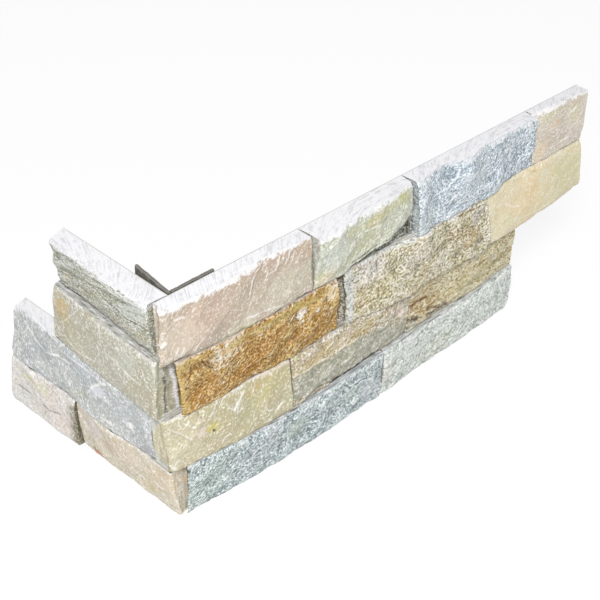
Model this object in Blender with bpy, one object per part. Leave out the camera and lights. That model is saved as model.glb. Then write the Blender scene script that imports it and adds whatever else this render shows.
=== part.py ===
"""Stone cladding corner piece.

Seventeen split stones are glued edge to edge in four staggered rows. They form an L, with a
long right wing along +X and a short left wing along +Y. The sawn backs face the corner of
the wall. The faces are split, so each stone stands proud by its own amount. At the corner the
rows are toothed: a right-wing stone runs through in one row and a left-wing stone in the next.
Two thin slate slips are glued to the backs, one on each side of the inner corner.

Lengths are in metres, and the schedule of stones counts in units of SCHEDULE_UNIT. The origin
lies under the corner stone, WALL_SETBACK in front of both walls.
"""

import math
from dataclasses import dataclass
from enum import Enum

import bmesh
import bpy
from mathutils import Vector, noise

# Overall sizes
PANEL_HEIGHT = 0.150
ROW_COUNT = 4
SCHEDULE_UNIT = 0.001
STONE_DEPTH = 0.014
WALL_SETBACK = 0.006
JOINT = 0.0003

# Reach of the wings from the inner corner
RIGHT_UPPER_REACH = 0.366
RIGHT_LOWER_REACH = 0.2985
LEFT_UPPER_REACH = 0.0975
LEFT_LOWER_REACH = 0.146
UPPER_ROWS = 2

# Sawn beds and the chipped arris beside them
ARRIS_HEIGHT = 0.0013
ARRIS_CHIP = 0.0004
ARRIS_SPALL = 0.0016
SPALL_PITCH = 0.011

# Pitch of the facets that the split face is made of
FACET_LENGTH = 0.0043
FACE_LEVELS = 8
END_FACETS = 3
THINNEST_STONE = 0.0035

# Pitch of the smaller irregularities
LUMP_PITCH = 0.011
BREAK_PITCH = 0.010
RAGGED_PITCH = 0.0065

# Slate slips behind the inner corner
SLIP_THICKNESS = 0.0023
SLIP_FOOT = 0.003
LEFT_SLIP_LENGTH = 0.0292
LEFT_SLIP_RISE = 0.0053
RIGHT_SLIP_LENGTH = 0.0345
RIGHT_SLIP_RISE = 0.0009
SLIP_CORNER_RISE = 0.0005
SLIP_RAGGED = 0.0004
SLIP_STATIONS = 6

# Flake scar in the lower far corner of the arched stone
SCAR_START = 0.026
SCAR_RISE = 0.033
SCAR_BED = 0.0100
SCAR_RAGGED = 0.0009
SCAR_LEAN = 0.0012
SCAR_LEAN_PITCH = 0.014
SCAR_STATIONS = 11
SCAR_CURVE = 1.5


class Wing(Enum):
    """The two wings: name, turn about Z, and the side the face is on."""

    RIGHT = ("right_wing", 0.0, -1.0)
    LEFT = ("left_wing", math.pi / 2, 1.0)

    @property
    def label(self):
        """Name of the empty that carries the wing."""
        return self.value[0]

    @property
    def turn(self):
        """Angle of the wing about the vertical."""
        return self.value[1]

    @property
    def face_sign(self):
        """Sign of local Y on the split face."""
        return self.value[2]


@dataclass(frozen=True)
class Split:
    """How a stone parts when it is split. Heights in schedule units, runs in metres.

    scoop is the depth of the hollow flake scars that meet in sharp ridges, ridge the long
    cleavage ridges, tilt their angle to the bed, step the terraces where layers break off,
    lump the coarse grain, and belly the rounding of the face between its two beds.
    """

    scoop: float
    ridge: float
    tilt: float
    step: float
    lump: float
    scoop_run: float = 0.034
    scoop_rise: float = 0.021
    ridge_run: float = 0.030
    ridge_pitch: float = 0.0080
    step_run: float = 0.030
    step_pitch: float = 0.016
    belly: float = 1.1


SCALLOPED = Split(scoop=3.4, ridge=0.5, tilt=38.0, step=0.6, lump=0.5)
GRANULAR = Split(scoop=2.2, ridge=0.7, tilt=24.0, step=1.1, lump=1.3, scoop_run=0.026, scoop_rise=0.017)
FIBROUS = Split(scoop=1.6, ridge=2.2, tilt=-14.0, step=1.0, lump=0.6, scoop_run=0.060, ridge_run=0.05)
LAYERED = Split(scoop=1.2, ridge=1.0, tilt=4.0, step=2.6, lump=0.7, scoop_run=0.060,
                step_run=0.090, step_pitch=0.012)
SMOOTH = Split(scoop=2.0, ridge=0.4, tilt=20.0, step=0.4, lump=0.3, scoop_run=0.046, scoop_rise=0.028)


@dataclass(frozen=True)
class Stone:
    """One stone of the schedule.

    Stones are listed from the corner outwards. length is None for the stone at the corner,
    which takes up what the others leave of the row. top and foot are evenly spaced stations
    along the two beds, and say how far the face stands proud of STONE_DEPTH there. The trims
    shorten an end at the top and at the foot, and the cuts shorten it at the face only, where
    a cut below zero is a lip. start_turn says where the start end turns from its place at
    the back to its place at the face: below 1 near the back, above 1 near the face.
    start_rough and far_rough are the relief of a broken end. All lengths are in schedule
    units.
    """

    name: str
    wing: Wing
    row: int
    length: float | None
    top: tuple
    foot: tuple
    split: Split
    colour: tuple
    roughness: float = 0.82
    start_trim: tuple = (0.0, 0.0)
    far_trim: tuple = (0.0, 0.0)
    start_cut: tuple = (0.4, 0.4)
    start_turn: float = 2.0
    far_cut: float = 0.4
    start_rough: float = 0.3
    far_rough: float = 0.3


SCHEDULE = (
    Stone("pink_corner_stone", Wing.RIGHT, 1, None, top=(-4.5, -1.4, -1.8, -3.2, -0.9),
          foot=(-3.0, -0.6, 0.6, 1.4, 0.4), split=SCALLOPED, colour=(0.63, 0.55, 0.44),
          start_trim=(2.8, 4.4), start_cut=(-2.5, -6.0), start_rough=1.0),
    Stone("arched_cream_stone", Wing.RIGHT, 1, 89.2, top=(6.2, 4.8, 3.2, 1.3, -2.8),
          foot=(0.4, 1.1, 1.2, 0.8, -0.5), split=SCALLOPED, colour=(0.55, 0.56, 0.45),
          start_rough=0.7, far_cut=1.2),
    Stone("slate_blue_stone", Wing.RIGHT, 1, 120.7,
          top=(0.8, -2.2, -3.7, 2.6, -0.4, -1.6, -2.5, -2.1, -1.6),
          foot=(5.4, 2.5, 3.3, 3.3, 3.6, 2.6, -1.2, -3.0, -2.9), split=GRANULAR, colour=(0.54, 0.61, 0.64),
          start_rough=0.6),
    Stone("rose_end_stone", Wing.RIGHT, 1, 56.7, top=(-7.6, -5.0, -4.6, -2.8),
          foot=(-2.6, -2.4, -2.4, -2.6), split=SMOOTH, colour=(0.65, 0.59, 0.50),
          far_trim=(0.0, 4.5), far_rough=1.0),

    Stone("rust_stone", Wing.RIGHT, 2, None, top=(-2.0, 0.4, 1.2, 1.4, 0.2),
          foot=(1.5, 1.7, 2.6, 1.5, 2.2, 3.6, 2.6, 2.2, 2.0), split=GRANULAR, colour=(0.48, 0.33, 0.16),
          start_cut=(-6.4, -5.0), start_turn=10.0, far_cut=4.5, far_rough=0.6),
    Stone("buff_grain_stone", Wing.RIGHT, 2, 134.2, top=(-2.0, -1.2, -2.7, -0.5, 4.5, 3.0, 3.0, 2.5, 2.0),
          foot=(3.0, 5.6, 7.6, 9.0, 6.5, 6.5, 7.2, 8.1, 8.0), split=GRANULAR, colour=(0.56, 0.52, 0.39),
          start_cut=(3.0, 3.0), start_rough=0.8),
    Stone("smooth_cream_stone", Wing.RIGHT, 2, 107.7, top=(1.0, -2.4, -2.4, -2.4),
          foot=(5.6, 4.6, 2.0, -1.6), split=SMOOTH, colour=(0.74, 0.66, 0.46),
          far_trim=(2.5, -1.0), far_rough=0.8),

    Stone("pale_corner_stone", Wing.RIGHT, 3, None, top=(-2.8, 1.4, 2.0, 2.6),
          foot=(1.4, 4.4, 6.4, 6.0), split=SCALLOPED, colour=(0.62, 0.57, 0.40),
          start_trim=(-3.4, -0.8), start_rough=1.4),
    Stone("banded_stone", Wing.RIGHT, 3, 105.2, top=(2.4, 2.0, 3.0, 3.0),
          foot=(6.0, 4.8, 2.8, 1.0), split=GRANULAR, colour=(0.48, 0.44, 0.33)),
    Stone("brown_layered_stone", Wing.RIGHT, 3, 114.7, top=(2.0, 2.2, 1.6, -1.0),
          foot=(1.2, -0.8, -0.4, -4.4), split=LAYERED, colour=(0.52, 0.46, 0.30),
          far_trim=(1.0, 0.0), far_rough=0.9),

    Stone("dark_slate_stone", Wing.RIGHT, 4, None, top=(2.6, 7.2, 7.6, 6.2),
          foot=(1.2, 4.4, 4.6, 2.8), split=GRANULAR, colour=(0.49, 0.54, 0.53),
          start_cut=(-4.4, -4.8), start_turn=10.0),
    Stone("pale_granular_stone", Wing.RIGHT, 4, 138.2, top=(5.8, 4.0, 2.4, -2.4),
          foot=(2.8, 0.2, -1.4, -3.6), split=GRANULAR, colour=(0.59, 0.63, 0.58),
          far_trim=(-0.6, 0.0), far_rough=0.8),

    Stone("olive_ridged_stone", Wing.LEFT, 1, None, top=(1.8, 1.8, 1.2, 0.4),
          foot=(-2.4, -5.4, -8.0, -9.4), split=FIBROUS, colour=(0.52, 0.52, 0.45),
          far_trim=(3.4, -0.6), far_cut=4.5, far_rough=1.2),
    Stone("beige_corner_stone", Wing.LEFT, 2, None, top=(0.6, 0.2, -2.2, -5.0),
          foot=(5.2, 2.6, 1.3, -2.0), split=SMOOTH, colour=(0.57, 0.55, 0.45),
          start_trim=(8.0, 8.0), start_cut=(2.4, -1.6), start_turn=0.7, start_rough=1.6,
          far_trim=(-1.5, -1.0), far_cut=2.0, far_rough=0.8),
    Stone("grey_slate_stone", Wing.LEFT, 3, None, top=(2.0, 1.0, -1.2, -4.0),
          foot=(-0.6, 3.4, 0.0, 1.6), split=SCALLOPED, colour=(0.55, 0.57, 0.56),
          far_trim=(3.0, 2.4), far_cut=2.4, far_rough=0.8),
    Stone("cream_corner_stone", Wing.LEFT, 4, None, top=(1.8, 1.5, 3.4, 0.6),
          foot=(-4.6, -4.0, -3.8, -3.4), split=SCALLOPED, colour=(0.66, 0.61, 0.50),
          start_trim=(4.0, 4.0), start_cut=(-3.8, -3.0), start_turn=0.35,
          start_rough=0.7, far_rough=0.6),
    Stone("white_block_stone", Wing.LEFT, 4, 67.7, top=(0.2, 1.0, 2.0, 1.6),
          foot=(-0.1, 0.5, 1.0, 1.3), split=SCALLOPED, colour=(0.70, 0.68, 0.63),
          start_rough=0.7, far_trim=(2.6, 0.0), far_rough=0.8),
)

SLATE_COLOUR = (0.13, 0.12, 0.11)


def clear_scene():
    """Remove whatever the file opened with."""
    for obj in list(bpy.data.objects):
        bpy.data.objects.remove(obj, do_unlink=True)


def principled(name, colour, roughness):
    """Plain Principled material of one colour."""
    material = bpy.data.materials.new(name)
    material.use_nodes = True
    shader = material.node_tree.nodes["Principled BSDF"]
    shader.inputs["Base Color"].default_value = (*colour, 1.0)
    shader.inputs["Roughness"].default_value = roughness
    shader.inputs["Metallic"].default_value = 0.0
    return material


def mix(a, b, share):
    """Value at a share of the way from a to b."""
    return a + (b - a) * share


def smooth(value):
    """Soft step from 0 to 1, held at both ends."""
    value = min(max(value, 0.0), 1.0)
    return value * value * (3.0 - 2.0 * value)


def along(stations, share):
    """Smooth curve through evenly spaced stations, at a share of its run."""
    last = len(stations) - 1
    index = min(int(share * last), last - 1)
    t = share * last - index
    before = stations[max(index - 1, 0)]
    here = stations[index]
    there = stations[index + 1]
    after = stations[min(index + 2, last)]
    bend = 2.0 * before - 5.0 * here + 4.0 * there - after
    twist = 3.0 * (here - there) + after - before
    return here + 0.5 * t * ((there - before) + t * (bend + t * twist))


def stone_seed(name):
    """Fixed offset into the noise for one stone."""
    return sum((place + 1) * ord(letter) for place, letter in enumerate(name)) * 0.137


def row_height():
    """Sawn height of one stone."""
    return (PANEL_HEIGHT - (ROW_COUNT - 1) * JOINT) / ROW_COUNT


def row_floor(row):
    """Height of the lower bed of a row, counted from 1 at the top."""
    return (ROW_COUNT - row) * (row_height() + JOINT)


def wing_reach(stone):
    """Distance of the wing's end from the inner corner in this stone's row."""
    upper = stone.row <= UPPER_ROWS
    if stone.wing is Wing.RIGHT:
        return RIGHT_UPPER_REACH if upper else RIGHT_LOWER_REACH
    return LEFT_UPPER_REACH if upper else LEFT_LOWER_REACH


def runs_through_corner(stone):
    """Whether this stone's wing takes the corner in this row."""
    return (stone.row % 2 == 1) == (stone.wing is Wing.RIGHT)


def stone_run(stone):
    """Start and far end of a stone along its wing, from the inner corner."""
    outer = [other.length * SCHEDULE_UNIT + JOINT for other in SCHEDULE[SCHEDULE.index(stone) + 1:]
             if other.wing is stone.wing and other.row == stone.row]
    far = wing_reach(stone) - sum(outer)
    if stone.length is not None:
        return far - stone.length * SCHEDULE_UNIT, far
    if runs_through_corner(stone):
        return -STONE_DEPTH, far
    return JOINT, far


def relief(split, seed, u, z, height):
    """Split relief in metres at a place on the face."""
    tilt = math.radians(split.tilt)
    run = u * math.cos(tilt) + z * math.sin(tilt)
    rise = z * math.cos(tilt) - u * math.sin(tilt)
    hollows = noise.voronoi(Vector((run / split.scoop_run, rise / split.scoop_rise, seed)),
                            distance_metric="DISTANCE_SQUARED")
    scoop = min(hollows[0][0], 1.0) - 0.35
    ridge = noise.noise(Vector((run / split.ridge_run, rise / split.ridge_pitch, seed + 7.0)))
    lump = noise.noise(Vector((u / LUMP_PITCH, z / LUMP_PITCH, seed + 13.0)))
    field = 0.5 + 0.9 * noise.noise(Vector((run / split.step_run, rise / split.step_pitch, seed + 23.0)))
    terrace = math.floor(field * 3.0) / 3.0 + smooth((field * 3.0 % 1.0) * 2.6 - 1.6) / 3.0
    share = z / height
    belly = 1.0 - (2.0 * share - 1.0) ** 4
    hold = 0.45 + 0.55 * belly
    lift = split.scoop * scoop + split.ridge * (0.4 - abs(ridge)) + split.lump * lump
    lift += split.step * (terrace - 0.5)
    return SCHEDULE_UNIT * (hold * lift + split.belly * belly)


def spall(seed, u, z):
    """How much the sawn arris has crumbled back at a place."""
    bite = noise.noise(Vector((u / SPALL_PITCH, z / SPALL_PITCH, seed + 41.0)))
    return ARRIS_CHIP + ARRIS_SPALL * max(bite, 0.0)


def level_heights(height):
    """Heights of the plan outlines, with a low one beside each bed for the arris."""
    inner = height - 2.0 * ARRIS_HEIGHT
    body = [ARRIS_HEIGHT + inner * level / (FACE_LEVELS - 1) for level in range(FACE_LEVELS)]
    return [0.0] + body + [height]


def plan_outline(stone, seed, start, far, z, height):
    """Plan outline of a stone at one height, as (distance along the wing, depth) pairs.

    It runs up the start end from the back, along the face, and down the far end.
    """
    share = z / height
    at_bed = z <= 0.0 or z >= height
    left = start + SCHEDULE_UNIT * mix(stone.start_trim[1], stone.start_trim[0], share)
    right = far - SCHEDULE_UNIT * mix(stone.far_trim[1], stone.far_trim[0], share)
    face_left = left + SCHEDULE_UNIT * mix(stone.start_cut[1], stone.start_cut[0], share)
    face_right = right - SCHEDULE_UNIT * stone.far_cut
    facets = max(4, math.ceil((far - start) / FACET_LENGTH))

    face = []
    for step in range(facets + 1):
        place = step / facets
        u = mix(face_left, face_right, place)
        proud = mix(along(stone.foot, place), along(stone.top, place), share)
        depth = STONE_DEPTH + SCHEDULE_UNIT * proud + relief(stone.split, seed, u, z, height)
        if at_bed:
            depth -= spall(seed, u, z)
        face.append((u, max(depth, THINNEST_STONE)))

    def end_points(edge, face_u, depth, rough, inward, turn, key):
        """Points of an end from the back to just short of the face."""
        points = []
        for step in range(END_FACETS):
            part = step / END_FACETS
            bite = 0.0
            if step > 0:
                bite = 0.5 + 0.5 * noise.noise(Vector((part * 4.1, z / BREAK_PITCH, seed + key)))
            u = mix(edge, face_u, part ** turn) + inward * SCHEDULE_UNIT * rough * bite
            points.append((u, depth * part))
        return points

    start_end = end_points(left, face[0][0], face[0][1], stone.start_rough, 1.0, stone.start_turn, 61.0)
    far_end = end_points(right, face[-1][0], face[-1][1], stone.far_rough, -1.0, 2.0, 83.0)
    return start_end + face + far_end[::-1]


def loft(rings):
    """Closed solid through rings of equal length, with a flat cap at each end."""
    form = bmesh.new()
    loops = [[form.verts.new(point) for point in ring] for ring in rings]
    count = len(loops[0])
    for lower, upper in zip(loops, loops[1:]):
        for index in range(count):
            after = (index + 1) % count
            form.faces.new((lower[index], lower[after], upper[after], upper[index]))
    form.faces.new(loops[0][::-1])
    form.faces.new(loops[-1])
    bmesh.ops.recalc_face_normals(form, faces=form.faces)
    return form


def place_in_wing(name, form, wing, carriers, material, height=0.0, start=0.0):
    """Make a named object from a form and hang it on the wing's carrier."""
    mesh = bpy.data.meshes.new(name)
    form.to_mesh(mesh)
    form.free()
    mesh.materials.append(material)
    obj = bpy.data.objects.new(name, mesh)
    bpy.context.collection.objects.link(obj)
    obj.parent = carriers[wing]
    obj.location = (start, 0.0, height)
    return obj


def make_stone(stone, carriers):
    """Loft one split stone through its plan outlines."""
    start, far = stone_run(stone)
    height = row_height()
    seed = stone_seed(stone.name)
    rings = []
    for z in level_heights(height):
        outline = plan_outline(stone, seed, start, far, z, height)
        rings.append([(u - start, stone.wing.face_sign * depth, z) for u, depth in outline])
    material = principled(stone.name, stone.colour, stone.roughness)
    return place_in_wing(stone.name, loft(rings), stone.wing, carriers, material,
                         row_floor(stone.row), start)


def make_scar_cutter(stone_object, length):
    """Cutter whose rounded upper edge leaves the overhang of the arched stone."""
    overrun = STONE_DEPTH
    edge = []
    for step in range(SCAR_STATIONS):
        share = step / (SCAR_STATIONS - 1)
        x = mix(SCAR_START, length + overrun, share)
        ragged = SCAR_RAGGED * noise.noise(Vector((x / RAGGED_PITCH, 3.7, 0.0)))
        edge.append((x, SCAR_RISE * share ** SCAR_CURVE + ragged))
    edge[0] = (SCAR_START, -overrun)
    profile = edge + [(length + overrun, -overrun)]
    rings = [[(x, -depth, z) for x, z in profile] for depth in (SCAR_BED, SCAR_BED + 3.0 * STONE_DEPTH)]
    for index, (x, depth, z) in enumerate(rings[0]):
        lean = SCAR_LEAN * noise.noise(Vector((x / SCAR_LEAN_PITCH, z / SCAR_LEAN_PITCH, 9.1)))
        rings[0][index] = (x, depth + lean, z)
    mesh = bpy.data.meshes.new("scar_cutter")
    form = loft(rings)
    bmesh.ops.triangulate(form, faces=form.faces)
    form.to_mesh(mesh)
    form.free()
    cutter = bpy.data.objects.new("scar_cutter", mesh)
    bpy.context.collection.objects.link(cutter)
    cutter.parent = stone_object.parent
    cutter.location = stone_object.location
    cutter.display_type = "WIRE"
    cutter.hide_render = True
    return cutter


def break_flake(stone_object, length):
    """Break the flake out of the lower far corner of the arched stone."""
    cutter = make_scar_cutter(stone_object, length)
    scar = stone_object.modifiers.new("flake_scar", "BOOLEAN")
    scar.operation = "DIFFERENCE"
    scar.solver = "EXACT"
    scar.object = cutter


def make_slip(name, wing, start, length, corner_rise, outer_rise, carriers):
    """Thin slate plate on the back of one wing, with a ragged, sloping top."""
    near = []
    for step in range(SLIP_STATIONS):
        share = step / (SLIP_STATIONS - 1)
        u = mix(start, length, share)
        ragged = SLIP_RAGGED * noise.noise(Vector((u / RAGGED_PITCH, 5.3, wing.turn)))
        near.append((u, PANEL_HEIGHT + mix(corner_rise, outer_rise, share) + ragged))
    profile = near + [(length, SLIP_FOOT), (start, SLIP_FOOT)]
    wall_side = -wing.face_sign
    rings = [[(u, wall_side * depth, z) for u, z in profile] for depth in (JOINT, JOINT + SLIP_THICKNESS)]
    material = principled(name, SLATE_COLOUR, 0.75)
    return place_in_wing(name, loft(rings), wing, carriers, material)


def main():
    """Build the corner piece."""
    clear_scene()
    carriers = {}
    for wing in Wing:
        carrier = bpy.data.objects.new(wing.label, None)
        bpy.context.collection.objects.link(carrier)
        carrier.location = (WALL_SETBACK, WALL_SETBACK, 0.0)
        carrier.rotation_euler = (0.0, 0.0, wing.turn)
        carriers[wing] = carrier

    for stone in SCHEDULE:
        stone_object = make_stone(stone, carriers)
        if stone.name == "arched_cream_stone":
            start, far = stone_run(stone)
            break_flake(stone_object, far - start)

    make_slip("left_backing_slip", Wing.LEFT, JOINT, LEFT_SLIP_LENGTH,
              SLIP_CORNER_RISE, LEFT_SLIP_RISE, carriers)
    make_slip("right_backing_slip", Wing.RIGHT, SLIP_THICKNESS + 2.0 * JOINT, RIGHT_SLIP_LENGTH,
              SLIP_CORNER_RISE, RIGHT_SLIP_RISE, carriers)


main()
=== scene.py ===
"""Stone cladding corner piece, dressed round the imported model.

Each split stone is lofted again on a fine grid from the same schedule as the solids, worked over
by a Geometry Nodes tree that breaks the face into flakes and grain, and given its own quartzite
or slate finish. Lengths are in metres unless a docstring says otherwise.
"""

import logging
import math
from collections.abc import Iterable, Sequence
from dataclasses import dataclass, field
from enum import Enum

import bmesh
import bpy
import numpy as np
from mathutils import Matrix, Vector, noise


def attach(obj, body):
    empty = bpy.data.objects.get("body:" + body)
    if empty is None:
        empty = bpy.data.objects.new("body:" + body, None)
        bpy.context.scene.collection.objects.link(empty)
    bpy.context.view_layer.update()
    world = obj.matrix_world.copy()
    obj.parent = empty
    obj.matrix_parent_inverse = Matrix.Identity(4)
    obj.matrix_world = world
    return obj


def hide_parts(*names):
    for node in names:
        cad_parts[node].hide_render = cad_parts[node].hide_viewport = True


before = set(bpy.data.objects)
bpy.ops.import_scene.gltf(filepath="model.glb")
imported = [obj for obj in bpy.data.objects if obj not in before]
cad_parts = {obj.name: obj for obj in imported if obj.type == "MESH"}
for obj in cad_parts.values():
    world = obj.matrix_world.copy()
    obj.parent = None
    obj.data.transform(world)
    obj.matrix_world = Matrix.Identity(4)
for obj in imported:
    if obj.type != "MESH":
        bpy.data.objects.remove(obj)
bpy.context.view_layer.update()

logging.basicConfig(level=logging.INFO, format="%(message)s")
LOG = logging.getLogger("cladding")

# A colour as it is seen on a screen, written as 0xRRGGBB.
Colour = int
# Points of (run, z) in thousandths of a metre.
Path = tuple[tuple[float, float], ...]
BODY = "root"
UNIT = 0.001


def linear(colour: Colour) -> tuple[float, float, float]:
    """Turn a colour as seen on a screen into linear light.

    Args:
        colour: The colour.

    Returns:
        Its red, green and blue.
    """
    shares = [(colour >> shift & 0xFF) / 255.0 for shift in (16, 8, 0)]
    return tuple(c / 12.92 if c <= 0.04045 else ((c + 0.055) / 1.055) ** 2.4 for c in shares)


def mix(a: float, b: float, share: float) -> float:
    """Value at a share of the way from a to b."""
    return a + (b - a) * share


def soft(value: np.ndarray | float) -> np.ndarray | float:
    """Soft step from 0 to 1, held at both ends."""
    held = np.clip(value, 0.0, 1.0)
    return held * held * (3.0 - 2.0 * held)


def along(stations: Sequence[float], share: float) -> float:
    """Smooth curve through evenly spaced stations.

    Args:
        stations: The values at the stations.
        share: Place on the run, 0 to 1.

    Returns:
        The value there.
    """
    last = len(stations) - 1
    index = min(int(share * last), last - 1)
    t = share * last - index
    before, here = stations[max(index - 1, 0)], stations[index]
    there, after = stations[index + 1], stations[min(index + 2, last)]
    bend = 2.0 * before - 5.0 * here + 4.0 * there - after
    twist = 3.0 * (here - there) + after - before
    return here + 0.5 * t * ((there - before) + t * (bend + t * twist))


def wander(a: float, b: float, c: float) -> float:
    """Smooth noise between about -1 and 1 at a place."""
    return noise.noise(Vector((a, b, c)))


def stand(name: str, data: bpy.types.ID) -> bpy.types.Object:
    """Put a mesh, a lamp or a camera into the scene.

    Args:
        name: Name of the new object.
        data: What it holds.

    Returns:
        The object.
    """
    obj = bpy.data.objects.new(name, data)
    bpy.context.scene.collection.objects.link(obj)
    return obj


class Wing(Enum):
    """The two wings of the corner."""

    RIGHT = "right"
    LEFT = "left"

    def world(self, u: np.ndarray, depth: np.ndarray, z: np.ndarray) -> np.ndarray:
        """Points of a wing in the row frame.

        Args:
            u: Distance along the wing from the inner corner.
            depth: Distance in front of the sawn back.
            z: Height.

        Returns:
            The points, with x, y and z last.
        """
        if self is Wing.RIGHT:
            return np.stack((u + PANEL.setback, PANEL.setback - depth, z), axis=-1)
        return np.stack((PANEL.setback - depth, u + PANEL.setback, z), axis=-1)


@dataclass(frozen=True)
class PanelSizes:
    """The sizes that the stones share with the solids."""

    height: float = 0.150
    rows: int = 4
    stone_depth: float = 0.014
    setback: float = 0.006
    joint: float = 0.0003
    right_upper: float = 0.366
    right_lower: float = 0.2985
    left_upper: float = 0.0975
    left_lower: float = 0.146
    arris_height: float = 0.0013
    arris_chip: float = 0.0004
    arris_spall: float = 0.0016
    spall_pitch: float = 0.011
    lump_pitch: float = 0.011
    break_pitch: float = 0.010
    nick_pitch: float = 0.0032
    nick_depth: float = 0.0009
    thinnest: float = 0.0035

    @property
    def row_height(self) -> float:
        """Sawn height of one stone."""
        return (self.height - (self.rows - 1) * self.joint) / self.rows

    def row_floor(self, row: int) -> float:
        """Height of the lower bed of a row, counted from 1 at the top."""
        return (self.rows - row) * (self.row_height + self.joint)

    def reach(self, wing: Wing, row: int) -> float:
        """Find how far a wing goes in a row.

        Args:
            wing: The wing.
            row: The row, counted from 1 at the top.

        Returns:
            Distance of its end from the inner corner.
        """
        upper = row <= self.rows // 2
        if wing is Wing.RIGHT:
            return self.right_upper if upper else self.right_lower
        return self.left_upper if upper else self.left_lower


PANEL = PanelSizes()


@dataclass(frozen=True)
class Split:
    """How a stone parts when it is split, as in the solids, with the finer grain on top.

    Heights are in thousandths of a metre and runs in metres.
    """

    scoop: float
    ridge: float
    tilt: float
    step: float
    lump: float
    scoop_run: float = 0.034
    scoop_rise: float = 0.021
    ridge_run: float = 0.030
    ridge_pitch: float = 0.0080
    step_run: float = 0.030
    step_pitch: float = 0.016
    belly: float = 1.1
    shell: float = 0.35
    shell_run: float = 0.013
    shell_rise: float = 0.009
    grain: float = 0.22
    grain_pitch: float = 0.0014
    flake: float = 0.4
    flake_run: float = 0.012
    flake_pitch: float = 0.005
    pit: float = 0.1
    pit_pitch: float = 0.003


SCALLOPED = Split(scoop=3.4, ridge=0.5, tilt=38.0, step=0.6, lump=0.5, grain=0.07, flake=0.30,
                  flake_pitch=0.007, shell=0.45, pit=0.05)
GRANULAR = Split(scoop=2.2, ridge=0.7, tilt=24.0, step=1.1, lump=1.3, scoop_run=0.026,
                 scoop_rise=0.017, grain=0.30, flake=0.45, flake_run=0.008, flake_pitch=0.004,
                 shell=0.75, shell_run=0.0065, shell_rise=0.0036, pit=0.35)
FIBROUS = Split(scoop=1.6, ridge=2.2, tilt=-14.0, step=1.0, lump=0.6, scoop_run=0.060,
                ridge_run=0.05, grain=0.18, flake=0.6, flake_run=0.018, flake_pitch=0.003,
                shell=0.6, shell_run=0.018, shell_rise=0.0034, pit=0.15)
LAYERED = Split(scoop=1.2, ridge=1.0, tilt=4.0, step=2.6, lump=0.7, scoop_run=0.060, step_run=0.090,
                step_pitch=0.012, grain=0.34, flake=0.35, flake_run=0.009, flake_pitch=0.004,
                shell=0.7, shell_run=0.0075, shell_rise=0.0034, pit=0.45)
SMOOTH = Split(scoop=2.0, ridge=0.4, tilt=20.0, step=0.4, lump=0.3, scoop_run=0.046,
               scoop_rise=0.028, grain=0.05, flake=0.18, flake_run=0.020, flake_pitch=0.009,
               shell=0.30, shell_run=0.020, shell_rise=0.013, pit=0.03)


@dataclass(frozen=True)
class Finish:
    """Colours of one stone.

    body is the main colour, cloud the broad second tone, fleck the light grains and the
    painted highlight on ridges, dust the dark grains and the painted shade in crevices and
    hollows, and broken the colour of its rough ends. Shares are 0 to 1, depth_tone is how far
    the painted shade darkens hollows and the painted highlight lightens ridges, grain the
    number of grains in a metre, sparse how few and clear they are, hues how far their colours
    stray, and crushed how white the upper arris is.
    """

    body: Colour
    cloud: Colour
    fleck: Colour
    dust: Colour
    broken: Colour
    cloud_share: float = 0.45
    fleck_share: float = 1.0
    dust_share: float = 0.25
    depth_tone: float = 0.5
    grain: float = 760.0
    sparse: float = 0.0
    hues: float = 0.08
    line_share: float = 0.3
    dot_share: float = 0.4
    crushed: float = 0.35
    crushed_reach: float = 1.0
    roughness: float = 0.72


@dataclass(frozen=True)
class Patch:
    """A stained or bared patch, or one of painted shadow, in thousandths of a metre.

    run is counted along the wing on the face, and goes on round the arris over a broken end.
    """

    run: float
    z: float
    reach: float
    rise: float
    colour: Colour
    strength: float = 0.8
    lean: float = 0.0
    ragged: float = 0.35
    lift: float = 0.0

    def cover(self, run: np.ndarray, z: np.ndarray, warp: np.ndarray) -> np.ndarray:
        """How far the patch covers each point.

        Args:
            run: Runs of the points.
            z: Their heights.
            warp: Noise that frays the edge.

        Returns:
            Shares of 0 to 1.
        """
        turn = math.radians(self.lean)
        along_run, up_run = run - self.run, z - self.z
        across = along_run * math.cos(turn) + up_run * math.sin(turn)
        up = up_run * math.cos(turn) - along_run * math.sin(turn)
        away = np.hypot(across / self.reach, up / self.rise) + self.ragged * warp
        blur = min(0.35 + 0.07 * self.reach, 1.0)
        return soft((1.0 + blur / 2.0 - away) / blur)


@dataclass(frozen=True)
class Seam:
    """A crack, vein, bright ridge or painted shadow along a path of (run, z), in mm."""

    path: Path
    width: float
    colour: Colour
    strength: float = 0.9
    lift: float = 0.0
    blur: float = 1.0

    def cover(self, run: np.ndarray, z: np.ndarray, warp: np.ndarray) -> np.ndarray:
        """How far the seam covers each point.

        Args:
            run: Runs of the points.
            z: Their heights.
            warp: Noise that frays the edge.

        Returns:
            Shares of 0 to 1.
        """
        away = np.full(run.shape, 1e3)
        for (u0, z0), (u1, z1) in zip(self.path, self.path[1:]):
            step = np.array((u1 - u0, z1 - z0))
            t = np.clip(((run - u0) * step[0] + (z - z0) * step[1]) / (step @ step), 0.0, 1.0)
            away = np.minimum(away, np.hypot(run - u0 - t * step[0], z - z0 - t * step[1]))
        ragged = min(0.4 * self.width, 0.8) * warp
        reach = self.width * (1.0 + self.blur) / 2.0
        return soft((reach - away - ragged) / (self.width * self.blur))


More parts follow.
